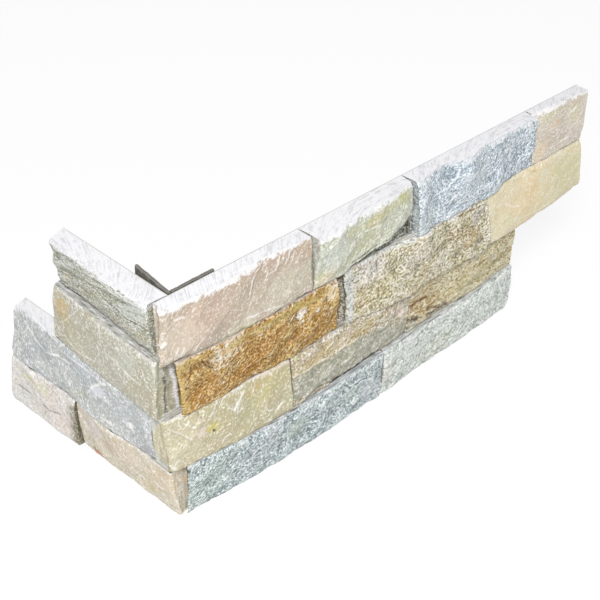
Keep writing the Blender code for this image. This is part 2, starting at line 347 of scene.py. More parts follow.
@dataclass(frozen=True)
class Stone:
    """One stone of the schedule, as in the solids, with its finish and marks.

    Its sizes are in thousandths of a metre, and places in metres. top and foot are how far the
    face stands proud at even stations along the upper and the lower edge. A trim is how far an
    end is set back at the top and the foot, a cut how far the face ends short of it, and
    start_turn how late the start end turns to the face. arris is how softly it turns, end_tone
    how broken the ends look, bare_from the place past which the sawn top lies open and white,
    and saw_centre the place about which the saw turned. scar_edge is the (run, z) edge of the
    flake that came off the face, and lap_edge that of the stone that laps over it.
    """

    name: str
    wing: Wing
    row: int
    length: float | None
    top: tuple[float, ...]
    foot: tuple[float, ...]
    split: Split
    finish: Finish
    marks: tuple[Patch | Seam, ...]
    start_trim: tuple[float, float] = (0.0, 0.0)
    far_trim: tuple[float, float] = (0.0, 0.0)
    start_cut: tuple[float, float] = (0.4, 0.4)
    start_turn: float = 2.0
    far_cut: float = 0.4
    start_rough: float = 0.3
    far_rough: float = 0.3
    arris: float = 1.0
    end_tone: float = 0.7
    bare_from: float | None = None
    saw_centre: tuple[float, float] = (0.172, -0.088)
    scar_edge: Path = ()
    lap_edge: Path = ()

    @property
    def seed(self) -> float:
        """Fixed offset into the noise."""
        return sum(place * ord(letter) for place, letter in enumerate(self.name, 1)) * 0.137

    @property
    def floor(self) -> float:
        """Height of the lower bed."""
        return PANEL.row_floor(self.row)


SAW_WHITE = 0xF4F4F6
SAW_GREY = 0xD8D8DD
LEDGE_GREY = 0xC0C2C4
CREAM = 0xE4DBC6
# Near black: dark cracks and dots, and painted shadow in gaps and under overhangs.
INK = 0x2C2A24
SOOT = 0x545050
SMOKE = 0x707470
CHALK = 0xF6F4F2
LILAC = 0xD6D6E0
LILAC_WHITE = 0xE6E4EE
MIST = 0xDCE4E0
MINT = 0xBECBBE
PALE_SLATE = 0xD0D7D6
SHADE_BLUE = 0x9EACB8
SHADE_BLUE_PALE = 0xBAC0C5
SHADE_GREY = 0xA8AFB2
SHADE_LILAC = 0xACAAB2
FLINT_CREAM = 0xECE4D4
FLINT_LILAC = 0xD6D3DA
BLUSH = 0xCBB0A0
BLUSH_PALE = 0xE2D0C7
PEACH = 0xE8C694
SAND = 0xCABFA8
# Painted shadow: soft dark lines beside raised ridges and along edges.
PAINTED_SHADOW = 0xA09280
ASH_CREAM = 0xCAC7B4
STRAW = 0xCCC47C
STRAW_GREY = 0xBCB898
OLD_STRAW = 0xC4A868
LIME_CREAM = 0xD0CC9E
LIME_GREY = 0xBAB890
MOSS = 0xBCBC74
MOSS_GREY = 0x96967C
MOSS_DARK = 0x7C7038
OLIVE_GREY = 0xA4A695
OLIVE_GREY_PALE = 0xB2B4A0
MOSS_SHADE = 0x6C6644
YOLK = 0xCCBE60
YOLK_GREEN = 0xCEC654
OCHRE = 0xCAA65C
OCHRE_PALE = 0xCEBC84
TAN = 0xCCB07A
UMBER_PALE = 0xB09052
BARK_PALE = 0x9E825A
BARK = 0x744E28
RUST = 0xBE782C
# Flake scar bed and its lines, darkened with painted shade from the overhanging face.
SHADED_SCAR_BED = 0x9EA294
SHADED_SCAR_LINE = 0x505348
SAW_FLECK = 0xD0CED4
LEDGE_SHADE = 0x9EA09E
LEDGE_LIGHT = 0xE8E7EE
LEDGE_LINE = 0x5C5C58
GROOVE_PALE = 0xDEDDD8
SLIP_DARK = 0x3C3834
SLIP_GREY = 0x645E58
SLIP_FLECK = 0x96928A
# Paler slate of upward faces: the broken top, with painted top light.
SLIP_BROKEN_AND_LIT = 0x8E8A84

PINK_BEIGE = Finish(0xB7AA97, 0xB8A594, 0xECE4D8, 0xA0907C, CREAM, fleck_share=0.8, dust_share=0.3,
                    depth_tone=0.4, sparse=1.0, line_share=0.35, dot_share=0.6, crushed=0.8,
                    roughness=0.6)
GREEN_CREAM = Finish(0xC3C5B3, 0xBDBFA3, 0xECEEE2, 0x84866C, 0xD2D0CE, dust_share=0.45, sparse=0.8,
                     line_share=0.4, crushed=0.8, roughness=0.62)
SLATE_BLUE = Finish(0xBFCCD4, 0xB5C3CD, 0xF2F7FA, 0x6C7A86, 0xCAD0CA, dust_share=0.7,
                    depth_tone=0.7, grain=820.0, line_share=0.2, crushed=0.6)
ROSE_CREAM = Finish(0xD6CEBE, 0xCEC2B3, 0xF0EAE0, 0xA09282, 0xDCD6CC, fleck_share=0.9,
                    dust_share=0.4, sparse=0.85, crushed=0.8, roughness=0.62)
RUST_BROWN = Finish(0xA88548, 0xAC7E36, 0xE8D098, 0x60421E, 0xC4B480, fleck_share=0.75,
                    dust_share=0.75, depth_tone=0.65, grain=800.0, sparse=0.2, hues=0.15,
                    line_share=0.1, dot_share=0.6, crushed=0.3)
BUFF_GRAIN = Finish(0xBFB997, 0xB9AB80, 0xF2ECDE, 0x62543C, 0xB6B4A6, fleck_share=0.95,
                    dust_share=0.8, depth_tone=0.9, grain=820.0, hues=0.2, line_share=0.1,
                    dot_share=0.6, crushed=0.6)
WARM_CREAM = Finish(0xE0D6B6, 0xE2D3AE, 0xF0EADA, 0xC4B490, 0xD6CEB4, fleck_share=0.9,
                    dust_share=0.45, depth_tone=0.35, sparse=1.0, line_share=0.25, dot_share=0.3,
                    crushed=0.2, roughness=0.58)
YELLOW_CREAM = Finish(0xBBB291, 0xB7B295, 0xEAE5D0, 0x8E8464, 0xCECAB6, fleck_share=0.9,
                      dust_share=0.35, sparse=1.0, depth_tone=0.45, line_share=0.5, dot_share=0.8,
                      crushed=0.4, roughness=0.62)
TAN_OLIVE = Finish(0xB5A689, 0xB0A68D, 0xF0EDE4, 0x645C48, 0xC8C4BA, dust_share=0.65, sparse=0.5,
                   hues=0.15, depth_tone=0.6, grain=800.0, crushed=0.3)
OCHRE_BROWN = Finish(0xDBD2AE, 0xD3C394, 0xF0EAD4, 0x68522E, 0xC4BA98, fleck_share=0.9,
                     dust_share=0.75, depth_tone=0.85, hues=0.15, line_share=0.1, crushed=0.2)
DARK_SLATE = Finish(0xB1BDBD, 0xA0ADB0, 0xEEF6F5, 0x606E70, 0xB4BCB8, dust_share=0.85,
                    depth_tone=1.0, grain=820.0, line_share=0.2)
PALE_GRAIN = Finish(0xD8DFD8, 0xCED6CF, 0xF7FAF7, 0x788078, 0xC4C6BC, dust_share=0.75,
                    depth_tone=0.9, grain=780.0, line_share=0.2)
OLIVE_RIDGE = Finish(0xC3C2B2, 0xBABAA6, 0xE8EAE6, 0x7A7C6A, 0xAAACA0, fleck_share=0.85,
                     dust_share=0.7, depth_tone=0.9, grain=740.0, line_share=0.2, crushed=0.95,
                     crushed_reach=1.8)
BEIGE = Finish(0xBDB9A9, 0xB7B19B, 0xE8E8DC, 0x8A856E, 0xB0B0A0, fleck_share=0.9, dust_share=0.4,
               sparse=1.0, depth_tone=0.45, line_share=0.25, dot_share=0.8, roughness=0.64)
GREY_SLATE = Finish(0xBEC1BD, 0xB6BABA, 0xECEFF0, 0x848888, 0xBEC0BC, dust_share=0.5, sparse=0.85,
                    depth_tone=0.55, line_share=0.4, dot_share=0.8, crushed=0.5, roughness=0.66)
CREAM_PINK = Finish(0xD4CCB7, 0xD2C4AF, 0xF2EDE4, 0x9E9078, 0xD4C8B2, dust_share=0.5, sparse=0.85,
                    line_share=0.45, dot_share=0.6, crushed=0.3, roughness=0.64)
PINK_WHITE = Finish(0xE0DBD4, 0xDBD3CC, 0xF3F2F0, 0x989288, 0x969276, dust_share=0.6,
                    depth_tone=0.6, sparse=0.75, line_share=0.6, dot_share=0.6, roughness=0.66)

SCAR_EDGE = ((123, 0), (130, 4.6), (140.3, 6), (151.6, 8.6), (162.7, 9.7), (173.4, 12.5),
             (180.7, 14), (184.6, 17.4), (186, 23), (187.2, 30), (188, 37.3))
LAP_EDGE = ((-20.2, 37.3), (-19.8, 35.2), (-24.8, 24), (-27.5, 15.7), (-27.5, 10.6), (-23.1, 3.5),
            (-16.2, 0))

PINK_CORNER_MARKS = (
    Patch(14.4, 19.4, 27, 12, BLUSH, 0.5, lean=20, ragged=0.35),
    Patch(9.9, 25.5, 11, 7, BLUSH, 0.3, lean=20, ragged=0.4),
    Patch(-3.2, 16.5, 13, 12, CREAM, 0.35, lean=10, ragged=0.6),
    Patch(47.1, 16, 24, 10, SAND, 0.35, lean=10, ragged=0.5),
    Patch(77.1, 15.5, 20, 12, ASH_CREAM, 0.6, lean=5, ragged=0.5),
    Patch(36.5, -0.1, 26, 5, ASH_CREAM, 0.6, lean=22, ragged=0.5),
    Patch(47.5, 33.5, 9, 4, BLUSH, 0.45, lean=20, ragged=0.6),
    Patch(-12.5, 16, 1.4, 1.1, CHALK, 0.95, lift=0.5),
    Seam(((-15.8, 38.7), (-16.3, 27.8), (-16.5, 18), (-16.6, 6.5)), 3.6, CREAM, 0.6),
    Seam(((-17.8, 19.3), (-17.6, 13.8), (-17.3, 7.5)), 1.8, LILAC, 0.9, 0.2),
    Seam(((-13.3, 15), (-16.2, 13.1)), 0.9, CHALK, 0.9, 0.3),
    Seam(((22.5, -0.9), (30.6, 0), (39.4, 0.7), (50.7, 0.9)), 1.7, MOSS, 0.6),
    Seam(((6.5, 3.3), (9.1, 7.5), (13, 10.5)), 0.8, CHALK, 0.8, 0.25),
    Seam(((-6.4, 4.8), (-4.2, 10.2)), 0.8, CHALK, 0.6, 0.2),
    Seam(((-2.9, 3.1), (-0.7, 8.5)), 0.8, CHALK, 0.6, 0.2),
    Seam(((-9.7, 7.2), (-7.8, 11.8)), 0.7, CHALK, 0.5, 0.2),
    Seam(((-4.9, 28.5), (-1.6, 28.8), (0.9, 28.1)), 0.9, CHALK, 0.8, 0.3),
    Seam(((-15, 32.2), (-10.9, 32.3), (-6.5, 34.8)), 0.9, CHALK, 0.5, 0.3),
    Seam(((59.1, 34.4), (54.6, 32.7), (50.6, 28.2), (48.3, 20.8)), 0.9, CHALK, 0.75, 0.35),
    Seam(((73.4, 34.5), (71.5, 31), (69, 27.6)), 0.9, CHALK, 0.7, 0.3),
    Seam(((81.1, 35.3), (79.2, 31.7), (76.8, 28.2)), 0.9, CHALK, 0.7, 0.3),
    Seam(((83.9, 32.4), (82.2, 29.3), (80.2, 26.1)), 0.9, CHALK, 0.6, 0.3),
    Seam(((87.2, 29.9), (85.8, 27.8), (84.7, 26.3)), 0.8, CHALK, 0.6, 0.3),
    Seam(((45.1, 6.7), (55.8, 5.7), (65.2, 4.7), (73.3, 2.9)), 0.9, CHALK, 0.55, 0.3),
    # Painted shadow lines beside the raised ridges and under the top edge.
    Seam(((60.4, 33.2), (55.9, 30.9), (52, 26.3), (49.8, 19.4)), 0.8, PAINTED_SHADOW, 0.35, -0.25),
    Seam(((74.7, 33.5), (72.4, 29.4)), 0.7, PAINTED_SHADOW, 0.3, -0.2),
    Seam(((82.2, 33.7), (80, 29.5)), 0.7, PAINTED_SHADOW, 0.3, -0.2),
    Seam(((27.3, 36.8), (44.3, 36.6), (60, 37)), 0.9, PAINTED_SHADOW, 0.35),
    Seam(((98.3, 37), (97.4, 28.4), (96.9, 16.2), (97.5, -0.2)), 0.9, SMOKE, 0.75),
)

ARCHED_CREAM_MARKS = (
    Patch(147.8, 25.7, 18, 7, LIME_GREY, 0.55, lean=38, ragged=0.6),
    Patch(107.1, 5.6, 7, 6, PEACH, 0.4, lean=20, ragged=0.6),
    Patch(154.3, 35.9, 4, 1.6, BLUSH_PALE, 0.5, lean=30, ragged=0.6),
    Patch(176, 32.7, 5, 6, MOSS, 0.45, lean=30),
    Patch(110.8, 21.5, 12, 10, MIST, 0.45, ragged=0.7),
    Patch(106.9, 30.2, 1.6, 1.2, CHALK, 0.8, lift=0.2),
    Patch(113.7, 19.3, 1.4, 1.2, CHALK, 0.8, lift=0.2),
    Patch(119.6, 26.9, 1.6, 1, CHALK, 0.7, lift=0.2),
    Patch(104.2, 20.3, 1.2, 1.6, CHALK, 0.7, lift=0.2),
    Patch(127, 18, 1.2, 1, CHALK, 0.7, lift=0.2),
    # Painted shadow: dark patch under the overhang at the far end.
    Patch(185, 6, 7, 5.5, INK, 0.8, lean=35, ragged=0.5),
    Seam(((125.5, 29.8), (143.8, 29.7), (162.8, 31.5), (177.3, 33.5)), 4, STRAW, 0.4),
    Seam(((143.1, 26.5), (147.5, 30.8), (152.2, 33.5)), 2, OCHRE, 0.5),
    Seam(((139.6, 25.2), (146.1, 24.7), (152.6, 24.2)), 1, CHALK, 0.8, 0.3),
    Seam(((122.8, 11.1), (125.3, 17.4), (128.2, 21.9)), 0.9, FLINT_CREAM, 0.5, 0.3),
    Seam(((106.1, 10.2), (107, 18.9), (107.4, 26.2)), 0.8, CHALK, 0.5, 0.2),
    # Painted shadow: dark lines under the overhanging face edge and in the gap at the far end.
    Seam(((130, 6.6), (140.3, 8), (151.6, 10.4), (162.7, 11.3), (173.4, 13.6), (180, 15)), 1.3,
         INK, 0.95),
    Seam(((180, 15), (183.9, 18.2), (185.4, 23.4), (186.5, 30), (187.3, 37.3)), 1.5, INK, 0.95),
    Seam(((179.5, 4.7), (185.4, 0.6), (191.4, -4.7)), 1.5, INK, 0.85),
    Seam(((188.1, 13.6), (187.6, 7.9), (185.2, 3)), 1.1, INK, 0.8),
    Seam(((190.5, 18.4), (190.6, 11), (189, 2.8)), 1.1, INK, 0.85),
)

SLATE_BLUE_MARKS = (
    Patch(221.9, 32.8, 12, 8, SHADE_BLUE, 0.5, lean=20, ragged=0.6),
    Patch(250.3, 24.3, 8, 11, PALE_SLATE, 0.45, lean=10, ragged=0.6),
    Patch(235, 15.2, 12, 5, MIST, 0.3, lean=20, ragged=0.7),
    Patch(277.6, 27.1, 9, 11, PALE_SLATE, 0.35, lean=10, ragged=0.7),
    Patch(195.6, 8.1, 9, 6, MINT, 0.45, lean=10, ragged=0.7),
    Seam(((186.9, 36.5), (185.9, 24.4), (186.7, 12.3), (188.1, 1.6)), 2, PALE_SLATE, 0.6),
    Seam(((184.1, 34.8), (184.4, 21.6), (185.1, 10.1), (187, 0.7)), 4, PALE_SLATE, 0.9),
    Seam(((207.7, 21.2), (217.6, 22.1), (224.6, 26.9), (227.5, 33.1)), 1, CHALK, 0.7, 0.5),
    Seam(((211.9, 11.9), (220.1, 12.3), (225.8, 16.1)), 1, CHALK, 0.7, 0.5),
    Seam(((235.7, 8.9), (243.8, 9.9), (252.3, 13.5)), 0.9, CHALK, 0.6, 0.4),
    Seam(((255.6, 16.4), (263.4, 17.4), (269.5, 21.2)), 0.9, CHALK, 0.6, 0.4),
    Seam(((190.8, 12.7), (201.8, 10.6), (210.1, 12.6)), 0.9, CHALK, 0.6, 0.4),
    Seam(((216.1, 5.4), (228.7, 5.6), (240.1, 6.2)), 0.8, SHADE_BLUE, 0.6, -0.3),
    # Painted shadow in the gap beside the arched stone.
    Seam(((181.9, 34.7), (182.6, 27.7), (183.1, 21)), 1.6, INK, 0.85),
)

ROSE_END_MARKS = (
    Patch(317, 8.1, 5, 9, PEACH, 0.4, ragged=0.8),
    Patch(331.1, 24.1, 5, 2.2, PEACH, 0.5, lean=20, ragged=0.7),
    Patch(353.3, 10, 6, 4, BLUSH, 0.4, lean=30, ragged=0.7),
    Patch(326.9, 34.1, 9, 5, LIME_GREY, 0.45, lean=10, ragged=0.8),
    Patch(352.3, 25.5, 5, 8, LIME_CREAM, 0.45, lean=10, ragged=0.7),
    Seam(((341.9, 24.6), (348.1, 26.9), (353.7, 28.3)), 0.9, CHALK, 0.85, 0.3),
    Seam(((348.3, 14.8), (354.3, 17.3), (359.8, 23)), 0.8, CHALK, 0.5, 0.3),
    Seam(((328.6, 6.9), (343.8, 8.1), (357.3, 6.9)), 0.8, CHALK, 0.45, 0.25),
    Seam(((339.3, 8.2), (347, 8.4)), 0.8, CHALK, 0.6, 0.25),
    Seam(((328.4, 18.3), (333.6, 19.4)), 0.8, CHALK, 0.5, 0.25),
    Seam(((342.7, 16.8), (346.8, 19.2)), 0.8, CHALK, 0.6, 0.25),
    Seam(((336.3, 37.3), (344.4, 37)), 0.9, BARK, 0.75),
)

RUST_MARKS = (
    Patch(13.3, 8.4, 14, 7, RUST, 0.3, lean=25, ragged=0.6),
    Patch(54.4, 16.6, 28, 6, RUST, 0.3, lean=28, ragged=0.6),
    Patch(100.7, 28.8, 12, 5, TAN, 0.45, lean=28, ragged=0.7),
    Patch(35.9, 1.7, 18, 4, BARK, 0.3, lean=28, ragged=0.7),
    Patch(0.9, 32.9, 6, 5, OLD_STRAW, 0.8, ragged=0.4),
    Patch(29.5, 29.9, 10, 5.5, FLINT_CREAM, 0.6, lean=30, ragged=0.8, lift=0.2),
    Patch(22.1, 29.4, 5, 4, FLINT_CREAM, 0.5, lean=30, ragged=0.8),
    Patch(8.1, 29.7, 3.4, 2.2, BARK, 0.7, lean=10),
    Patch(29.9, 26.5, 1.3, 1.1, MIST, 0.95, lift=0.2),
    Patch(28.4, 34.4, 1.6, 1.2, CHALK, 0.9, lift=0.2),
    Patch(23.3, 27.4, 1.3, 1.1, CHALK, 0.85, lift=0.2),
    Patch(87.7, 26.8, 4.2, 2.6, CHALK, 0.85, lean=30, ragged=0.6, lift=0.3),
    Patch(99.7, 24.7, 2, 1.4, CHALK, 0.9, lean=30, ragged=0.6, lift=0.3),
    Patch(115, 31, 7, 3.2, FLINT_CREAM, 0.8, lean=35, ragged=0.7, lift=0.2),
    Patch(84.2, 34.6, 4, 1.5, MOSS, 0.6, lean=25),
    Patch(46, -3.5, 24, 3.6, BARK, 0.35, lean=28, ragged=0.8),
    Patch(33.4, 30.7, 3, 2, PEACH, 0.7, lean=20),
    Patch(97.9, 10.6, 12, 3.4, BARK, 0.3, lean=30, ragged=0.8),
    Seam(((-5, 34.3), (-4.9, 22.5), (-2.9, 6.2)), 6, OLD_STRAW, 0.85),
    Seam(((18.5, 22.1), (28.1, 21.6), (36.1, 25.9), (42.5, 29.6)), 0.9, FLINT_CREAM, 0.8, 0.4),
    Seam(((109.6, 29.4), (115.2, 32.3), (119, 34)), 0.9, CHALK, 0.9, 0.3),
    Seam(((30.6, 32.1), (49.7, 32.4), (65.3, 32.6), (81.4, 32.6), (100.9, 31.5), (118.5, 30.8)),
         4.2, OLD_STRAW, 0.6),
    Seam(((30.6, 32.1), (49.7, 32.4), (65.3, 32.6), (81.4, 32.6), (100.9, 31.5)), 1.6, MOSS, 0.5),
    Seam(((4.2, 31.5), (2.7, 26.9), (-1.8, 18.2)), 1.1, BARK, 0.8, -0.3),
    Seam(((11.1, 31.6), (14, 26.6), (17.6, 23.6)), 0.9, INK, 0.85, -0.3),
    Seam(((28.8, 21.9), (32, 22.4), (34.4, 23.2)), 0.8, BARK, 0.85, -0.3),
    Seam(((43.6, 9.6), (49.7, 9), (54.3, 10.8), (59.7, 9.6)), 1.1, BARK, 0.85, -0.4),
    Seam(((44.2, 31.6), (50.4, 31.4)), 0.8, INK, 0.7),
    Seam(((67.6, 32.2), (75.6, 32.6)), 0.8, INK, 0.6),
)

BUFF_GRAIN_MARKS = (
    Patch(147.5, 31.5, 16, 8, FLINT_LILAC, 0.6, lean=22, ragged=0.7),
    Patch(186.3, 25, 12, 6, FLINT_LILAC, 0.35, lean=22, ragged=0.8),
    Patch(134.8, 12, 11, 9, TAN, 0.45, lean=20, ragged=0.7),
    Patch(154.1, 13.9, 10, 6, OCHRE_PALE, 0.5, lean=20, ragged=0.8),
    Patch(220.8, -5.8, 15, 5, OCHRE_PALE, 0.6, lean=28, ragged=0.7),
    Patch(239.2, 14.9, 8, 5.5, OCHRE, 0.5, lean=20, ragged=0.7),
    Patch(247.4, 29.5, 8, 4, FLINT_LILAC, 0.5, lean=25, ragged=0.8),
    Patch(207.5, 11.2, 14, 4, FLINT_LILAC, 0.3, lean=25, ragged=0.8),
    Patch(187.9, 6.1, 14, 5, TAN, 0.35, lean=25, ragged=0.7),
    Seam(((136.8, 39.1), (154.9, 37.2), (171.2, 35.9), (185.4, 35.9)), 2.6, MIST, 0.8),
    Seam(((244, 8.5), (251.2, 8.3), (255.4, 8.8)), 1.2, FLINT_LILAC, 0.7),
    Seam(((131.6, 37.6), (130.2, 29.1), (130.1, 16.7), (129.3, 0.9)), 2, PALE_SLATE, 0.75),
    Seam(((131.5, 43.5), (129.6, 27.7), (128.2, 13.1), (127, 3.7)), 8, PALE_SLATE, 0.9),
    Seam(((153.3, 16.9), (152.2, 13.3), (151.2, 9)), 0.9, BARK, 0.85, -0.5),
    Seam(((226.1, 35.5), (238.2, 35.2), (253.4, 34)), 0.9, BARK, 0.75, -0.3),
    Seam(((126.3, 34.8), (125.7, 29.9), (126.5, 22), (125, 10.1), (124.1, 2.2)), 1.5, INK, 0.95),
)

SMOOTH_CREAM_MARKS = (
    Patch(301.3, 23.8, 11, 15, PEACH, 0.34, lean=-14, ragged=0.4),
    Patch(310.2, 24.7, 4, 13, PEACH, 0.45, lean=-14, ragged=0.7),
    Patch(283.7, 17.9, 9, 7, PEACH, 0.25, lean=10, ragged=0.6),
    Patch(310.2, 33.3, 3, 1.4, MOSS, 0.5),
    Patch(346.2, 19.3, 15, 14, LIME_CREAM, 0.6, ragged=0.5),
    Patch(276.4, 10.7, 8, 5, LIME_CREAM, 0.4, lean=20),
    Patch(323, 37.1, 9, 4, PEACH, 0.3, lean=20, ragged=0.6),
    Seam(((265.2, 25.9), (276, 24.1), (286, 17.7), (293.9, 15.9)), 0.8, CHALK, 0.6, 0.25),
    Seam(((291.1, 6.7), (309.8, 3.9), (324.5, 2.8)), 0.8, CHALK, 0.35, 0.2),
    Seam(((335.2, 5.2), (341.5, 18.2), (345.5, 28.9)), 0.7, CHALK, 0.3, 0.2),
)

PALE_CORNER_MARKS = (
    Patch(14.3, 20.2, 5.2, 3.4, YOLK, 0.75, lean=10, ragged=0.5),
    Patch(15.2, 17.6, 1.3, 1.1, INK, 0.9),
    Patch(7.3, 20.8, 3.4, 3, BLUSH_PALE, 0.8, lean=20),
    Patch(11.1, 5.6, 13, 6, SAND, 0.35, lean=20, ragged=0.6),
    Patch(57.4, 25.2, 16, 8, STRAW, 0.3, lean=20, ragged=0.6),
    Patch(-10.1, 17.7, 19, 17, CREAM, 0.3, lean=10, ragged=0.4),
    Patch(48.7, 31, 9, 4, TAN, 0.35, lean=20, ragged=0.7),
    Patch(-2.4, 30.2, 1.4, 1.2, CHALK, 0.8, lift=0.2),
    Patch(1.8, 26.9, 1.2, 1, CHALK, 0.8, lift=0.2),
    Seam(((39.2, 33), (34.4, 28.1), (31.2, 24.1)), 1.3, CHALK, 0.95, 0.4),
    Seam(((31.9, 23.7), (27.7, 27.3), (25.6, 31.5)), 0.9, CHALK, 0.7, 0.3),
    Seam(((20.8, 5.3), (22.9, 8.4), (26.4, 9.2)), 1.1, CHALK, 0.85, 0.3),
    Seam(((62.1, 7.5), (65.9, 9.2), (70, 10.3)), 0.9, CHALK, 0.85, 0.3),
    Seam(((44.8, 37.3), (55.5, 36.3), (67.3, 35.5), (77.8, 35)), 1.4, BLUSH_PALE, 0.75),
    Seam(((-14.5, 32.3), (-7.1, 25.8), (-0.1, 18.5)), 0.9, CHALK, 0.6, 0.3),
    Seam(((44.6, 30.2), (49.4, 30.6), (54, 29.7)), 1, OLD_STRAW, 0.7, -0.2),
    Seam(((9.8, 25.3), (14.4, 28.1), (17.8, 31.9)), 0.8, CHALK, 0.45, 0.25),
    # Painted shadow line beside the raised ridge above it.
    Seam(((-13.9, 30.4), (-6.6, 23.8), (-1.1, 18.3)), 0.7, PAINTED_SHADOW, 0.4, -0.2),
    Seam(((5.7, 35.7), (6.1, 33.2), (7.4, 30.7)), 0.8, SMOKE, 0.7, -0.2),
)

BANDED_MARKS = (
    Patch(173.4, 11.4, 10, 5, OLIVE_GREY_PALE, 0.6, lean=30, ragged=0.4),
    Patch(130, 14.7, 6, 6, LIME_GREY, 0.5, lean=10),
    Patch(145.2, 10.5, 8, 6, FLINT_LILAC, 0.45, lean=30, ragged=0.9),
    Patch(174.6, 25.1, 4.5, 5.5, BLUSH_PALE, 0.75, ragged=0.5),
    Patch(142.5, 27.6, 10, 4, OCHRE_PALE, 0.7, lean=25, ragged=0.5),
    Patch(82.1, 34.5, 2, 1.6, MOSS, 0.8),
    Patch(106.3, 27.6, 5, 2, TAN, 0.6, lean=25),
    Patch(123.9, 28.4, 9, 3.2, BLUSH_PALE, 0.6, lean=28, ragged=0.7),
    Patch(96.4, 25.4, 14, 4.5, TAN, 0.5, lean=28, ragged=0.6),
    Seam(((74.7, 14), (78.1, 13.7), (107.6, 11.7), (137.5, 13.1), (157.7, 10.9)), 18, OLIVE_GREY,
         0.92, blur=0.14),
    Seam(((158, 9.2), (183.3, 6)), 12, OLIVE_GREY, 0.9, blur=0.2),
    Seam(((80.7, 24.8), (99.9, 25), (122.1, 26.4), (148.1, 25.6)), 7, OCHRE_PALE, 0.45),
    Seam(((78.8, 22.8), (94.4, 22.4), (111.2, 22.2), (123.7, 23.3), (137.2, 22.6)), 1.2,
         FLINT_CREAM, 0.85, 0.4),
    Seam(((134.5, 23.2), (144.4, 25.1), (162.4, 23), (180.7, 15.3)), 0.9, BARK_PALE, 0.6, -0.3),
    Seam(((161.9, 29.5), (160.2, 25.7)), 0.8, BARK_PALE, 0.7, -0.2),
    Seam(((83, 3.3), (99.1, 3.6), (110, 3.4)), 1, SMOKE, 0.8, -0.2),
    # Painted shadow in the gap under the foot.
    Seam(((112, 1.4), (123.1, 1.5), (136.5, 1.5), (156.3, 1.3)), 3.2, INK, 0.98, -0.5, blur=0.6),
)

BROWN_LAYERED_MARKS = (
    Patch(198.5, 26, 18, 7, UMBER_PALE, 0.55, lean=28, ragged=0.6),
    Patch(202.6, 11.6, 16, 5.5, UMBER_PALE, 0.8, lean=28, ragged=0.6),
    Patch(193.5, 18.8, 8, 4, RUST, 0.3, lean=28, ragged=0.7),
    Patch(234.4, 16.3, 16, 6, OCHRE_PALE, 0.6, lean=28, ragged=0.7),
    Patch(183.9, 20.4, 3, 2, INK, 0.8, lean=10),
    Patch(213.5, 5.1, 5, 1.6, RUST, 0.7, lean=30, ragged=0.5),
    Patch(255.6, 12.7, 16, 8, LIME_GREY, 0.6, lean=28, ragged=0.5),
    Patch(282.1, 10.7, 10, 8, LIME_GREY, 0.5, lean=28, ragged=0.5),
    Patch(272.8, 19.5, 3, 1.6, FLINT_LILAC, 0.8, lean=28),
    Patch(265.1, 23.9, 1, 0.8, RUST, 0.8),
    Patch(244.5, 28.5, 1.1, 0.8, RUST, 0.8),
    Patch(188.7, 4.3, 7, 2.6, SHADE_GREY, 0.8, lean=25, ragged=0.7),
    Patch(221.2, -3.2, 10, 2.4, LIME_GREY, 0.6, lean=28, ragged=0.7),
    Seam(((229.8, 24.4), (249.1, 24.3), (269.5, 21.6)), 0.9, BARK_PALE, 0.5, -0.3),
    Seam(((237.8, 9.5), (256.2, 9.9), (283.5, 6.4)), 0.9, BARK_PALE, 0.4, -0.3),
    Seam(((182.4, 21.6), (188.3, 20.2), (195.8, 20.1), (203.3, 19.9)), 2.2, BARK, 0.95, -0.5),
    Seam(((182.9, 12), (187.7, 9.6), (195.1, 7.6)), 3.2, INK, 0.95, -0.5),
    Seam(((204.8, 6.3), (211.8, 4), (217.2, 3.7), (225.7, 3)), 3, INK, 0.95, -0.6),
    Seam(((204.8, 10.8), (215.1, 6.9), (224.5, 6.7)), 2, BARK, 0.95, -0.4),
    Seam(((226, 2.1), (235.9, 2.4)), 1, BARK, 0.8, -0.3),
    Seam(((196.2, 13.3), (206.5, 12.8), (218.3, 10.8)), 0.9, BARK, 0.6, -0.3),
    Seam(((187.5, 29.8), (202.1, 29), (218.3, 26.8)), 0.9, BARK, 0.45, -0.3),
    Seam(((261.3, 3.6), (267.2, 3.5), (272.1, 3.4)), 1.1, SMOKE, 0.8, -0.3),
    Seam(((183.8, 4), (191, 3.4), (198.8, 1.9)), 0.8, SMOKE, 0.6, -0.2),
)

DARK_SLATE_MARKS = (
    Patch(-5, 34.3, 2.4, 3.2, INK, 0.85),
    Patch(43.6, 37, 3.4, 1.5, SMOKE, 0.85, lean=25, lift=-0.3),
    Patch(79.2, 22.5, 9, 8, MINT, 0.6, lean=20, ragged=0.6),
    Patch(128.2, 20.9, 8, 5, MINT, 0.45, lean=20, ragged=0.6),
    Patch(-0.4, 14.9, 2.6, 2.2, CHALK, 0.6),
    Patch(62.9, 35.2, 10, 3, FLINT_LILAC, 0.4, lean=28, ragged=0.8),
    Patch(9.3, 18.9, 22, 14, MINT, 0.45, lean=25, ragged=0.6),
    Patch(49.9, 25.1, 22, 12, SHADE_LILAC, 0.3, lean=25, ragged=0.6),
    Patch(146.7, 13.2, 9, 13, FLINT_LILAC, 0.5, lean=10, ragged=0.5),
    Seam(((123.2, 33), (129, 29.3), (137.6, 29.7)), 0.8, CHALK, 0.6, 0.4),
    Seam(((32.5, 16), (37.1, 17.6), (41.7, 18.2)), 0.9, CHALK, 0.8, 0.3),
    Seam(((42.1, 24.7), (50, 24.2), (57.2, 25.7)), 0.8, CHALK, 0.6, 0.3),
    Seam(((121.9, 32.1), (127.3, 27.4), (136.8, 27.7), (146.8, 24.8)), 1.1, SMOKE, 0.75, -0.5),
    Seam(((95.9, 21.6), (108.8, 18.9), (119.8, 20)), 0.8, SMOKE, 0.4, -0.3),
)

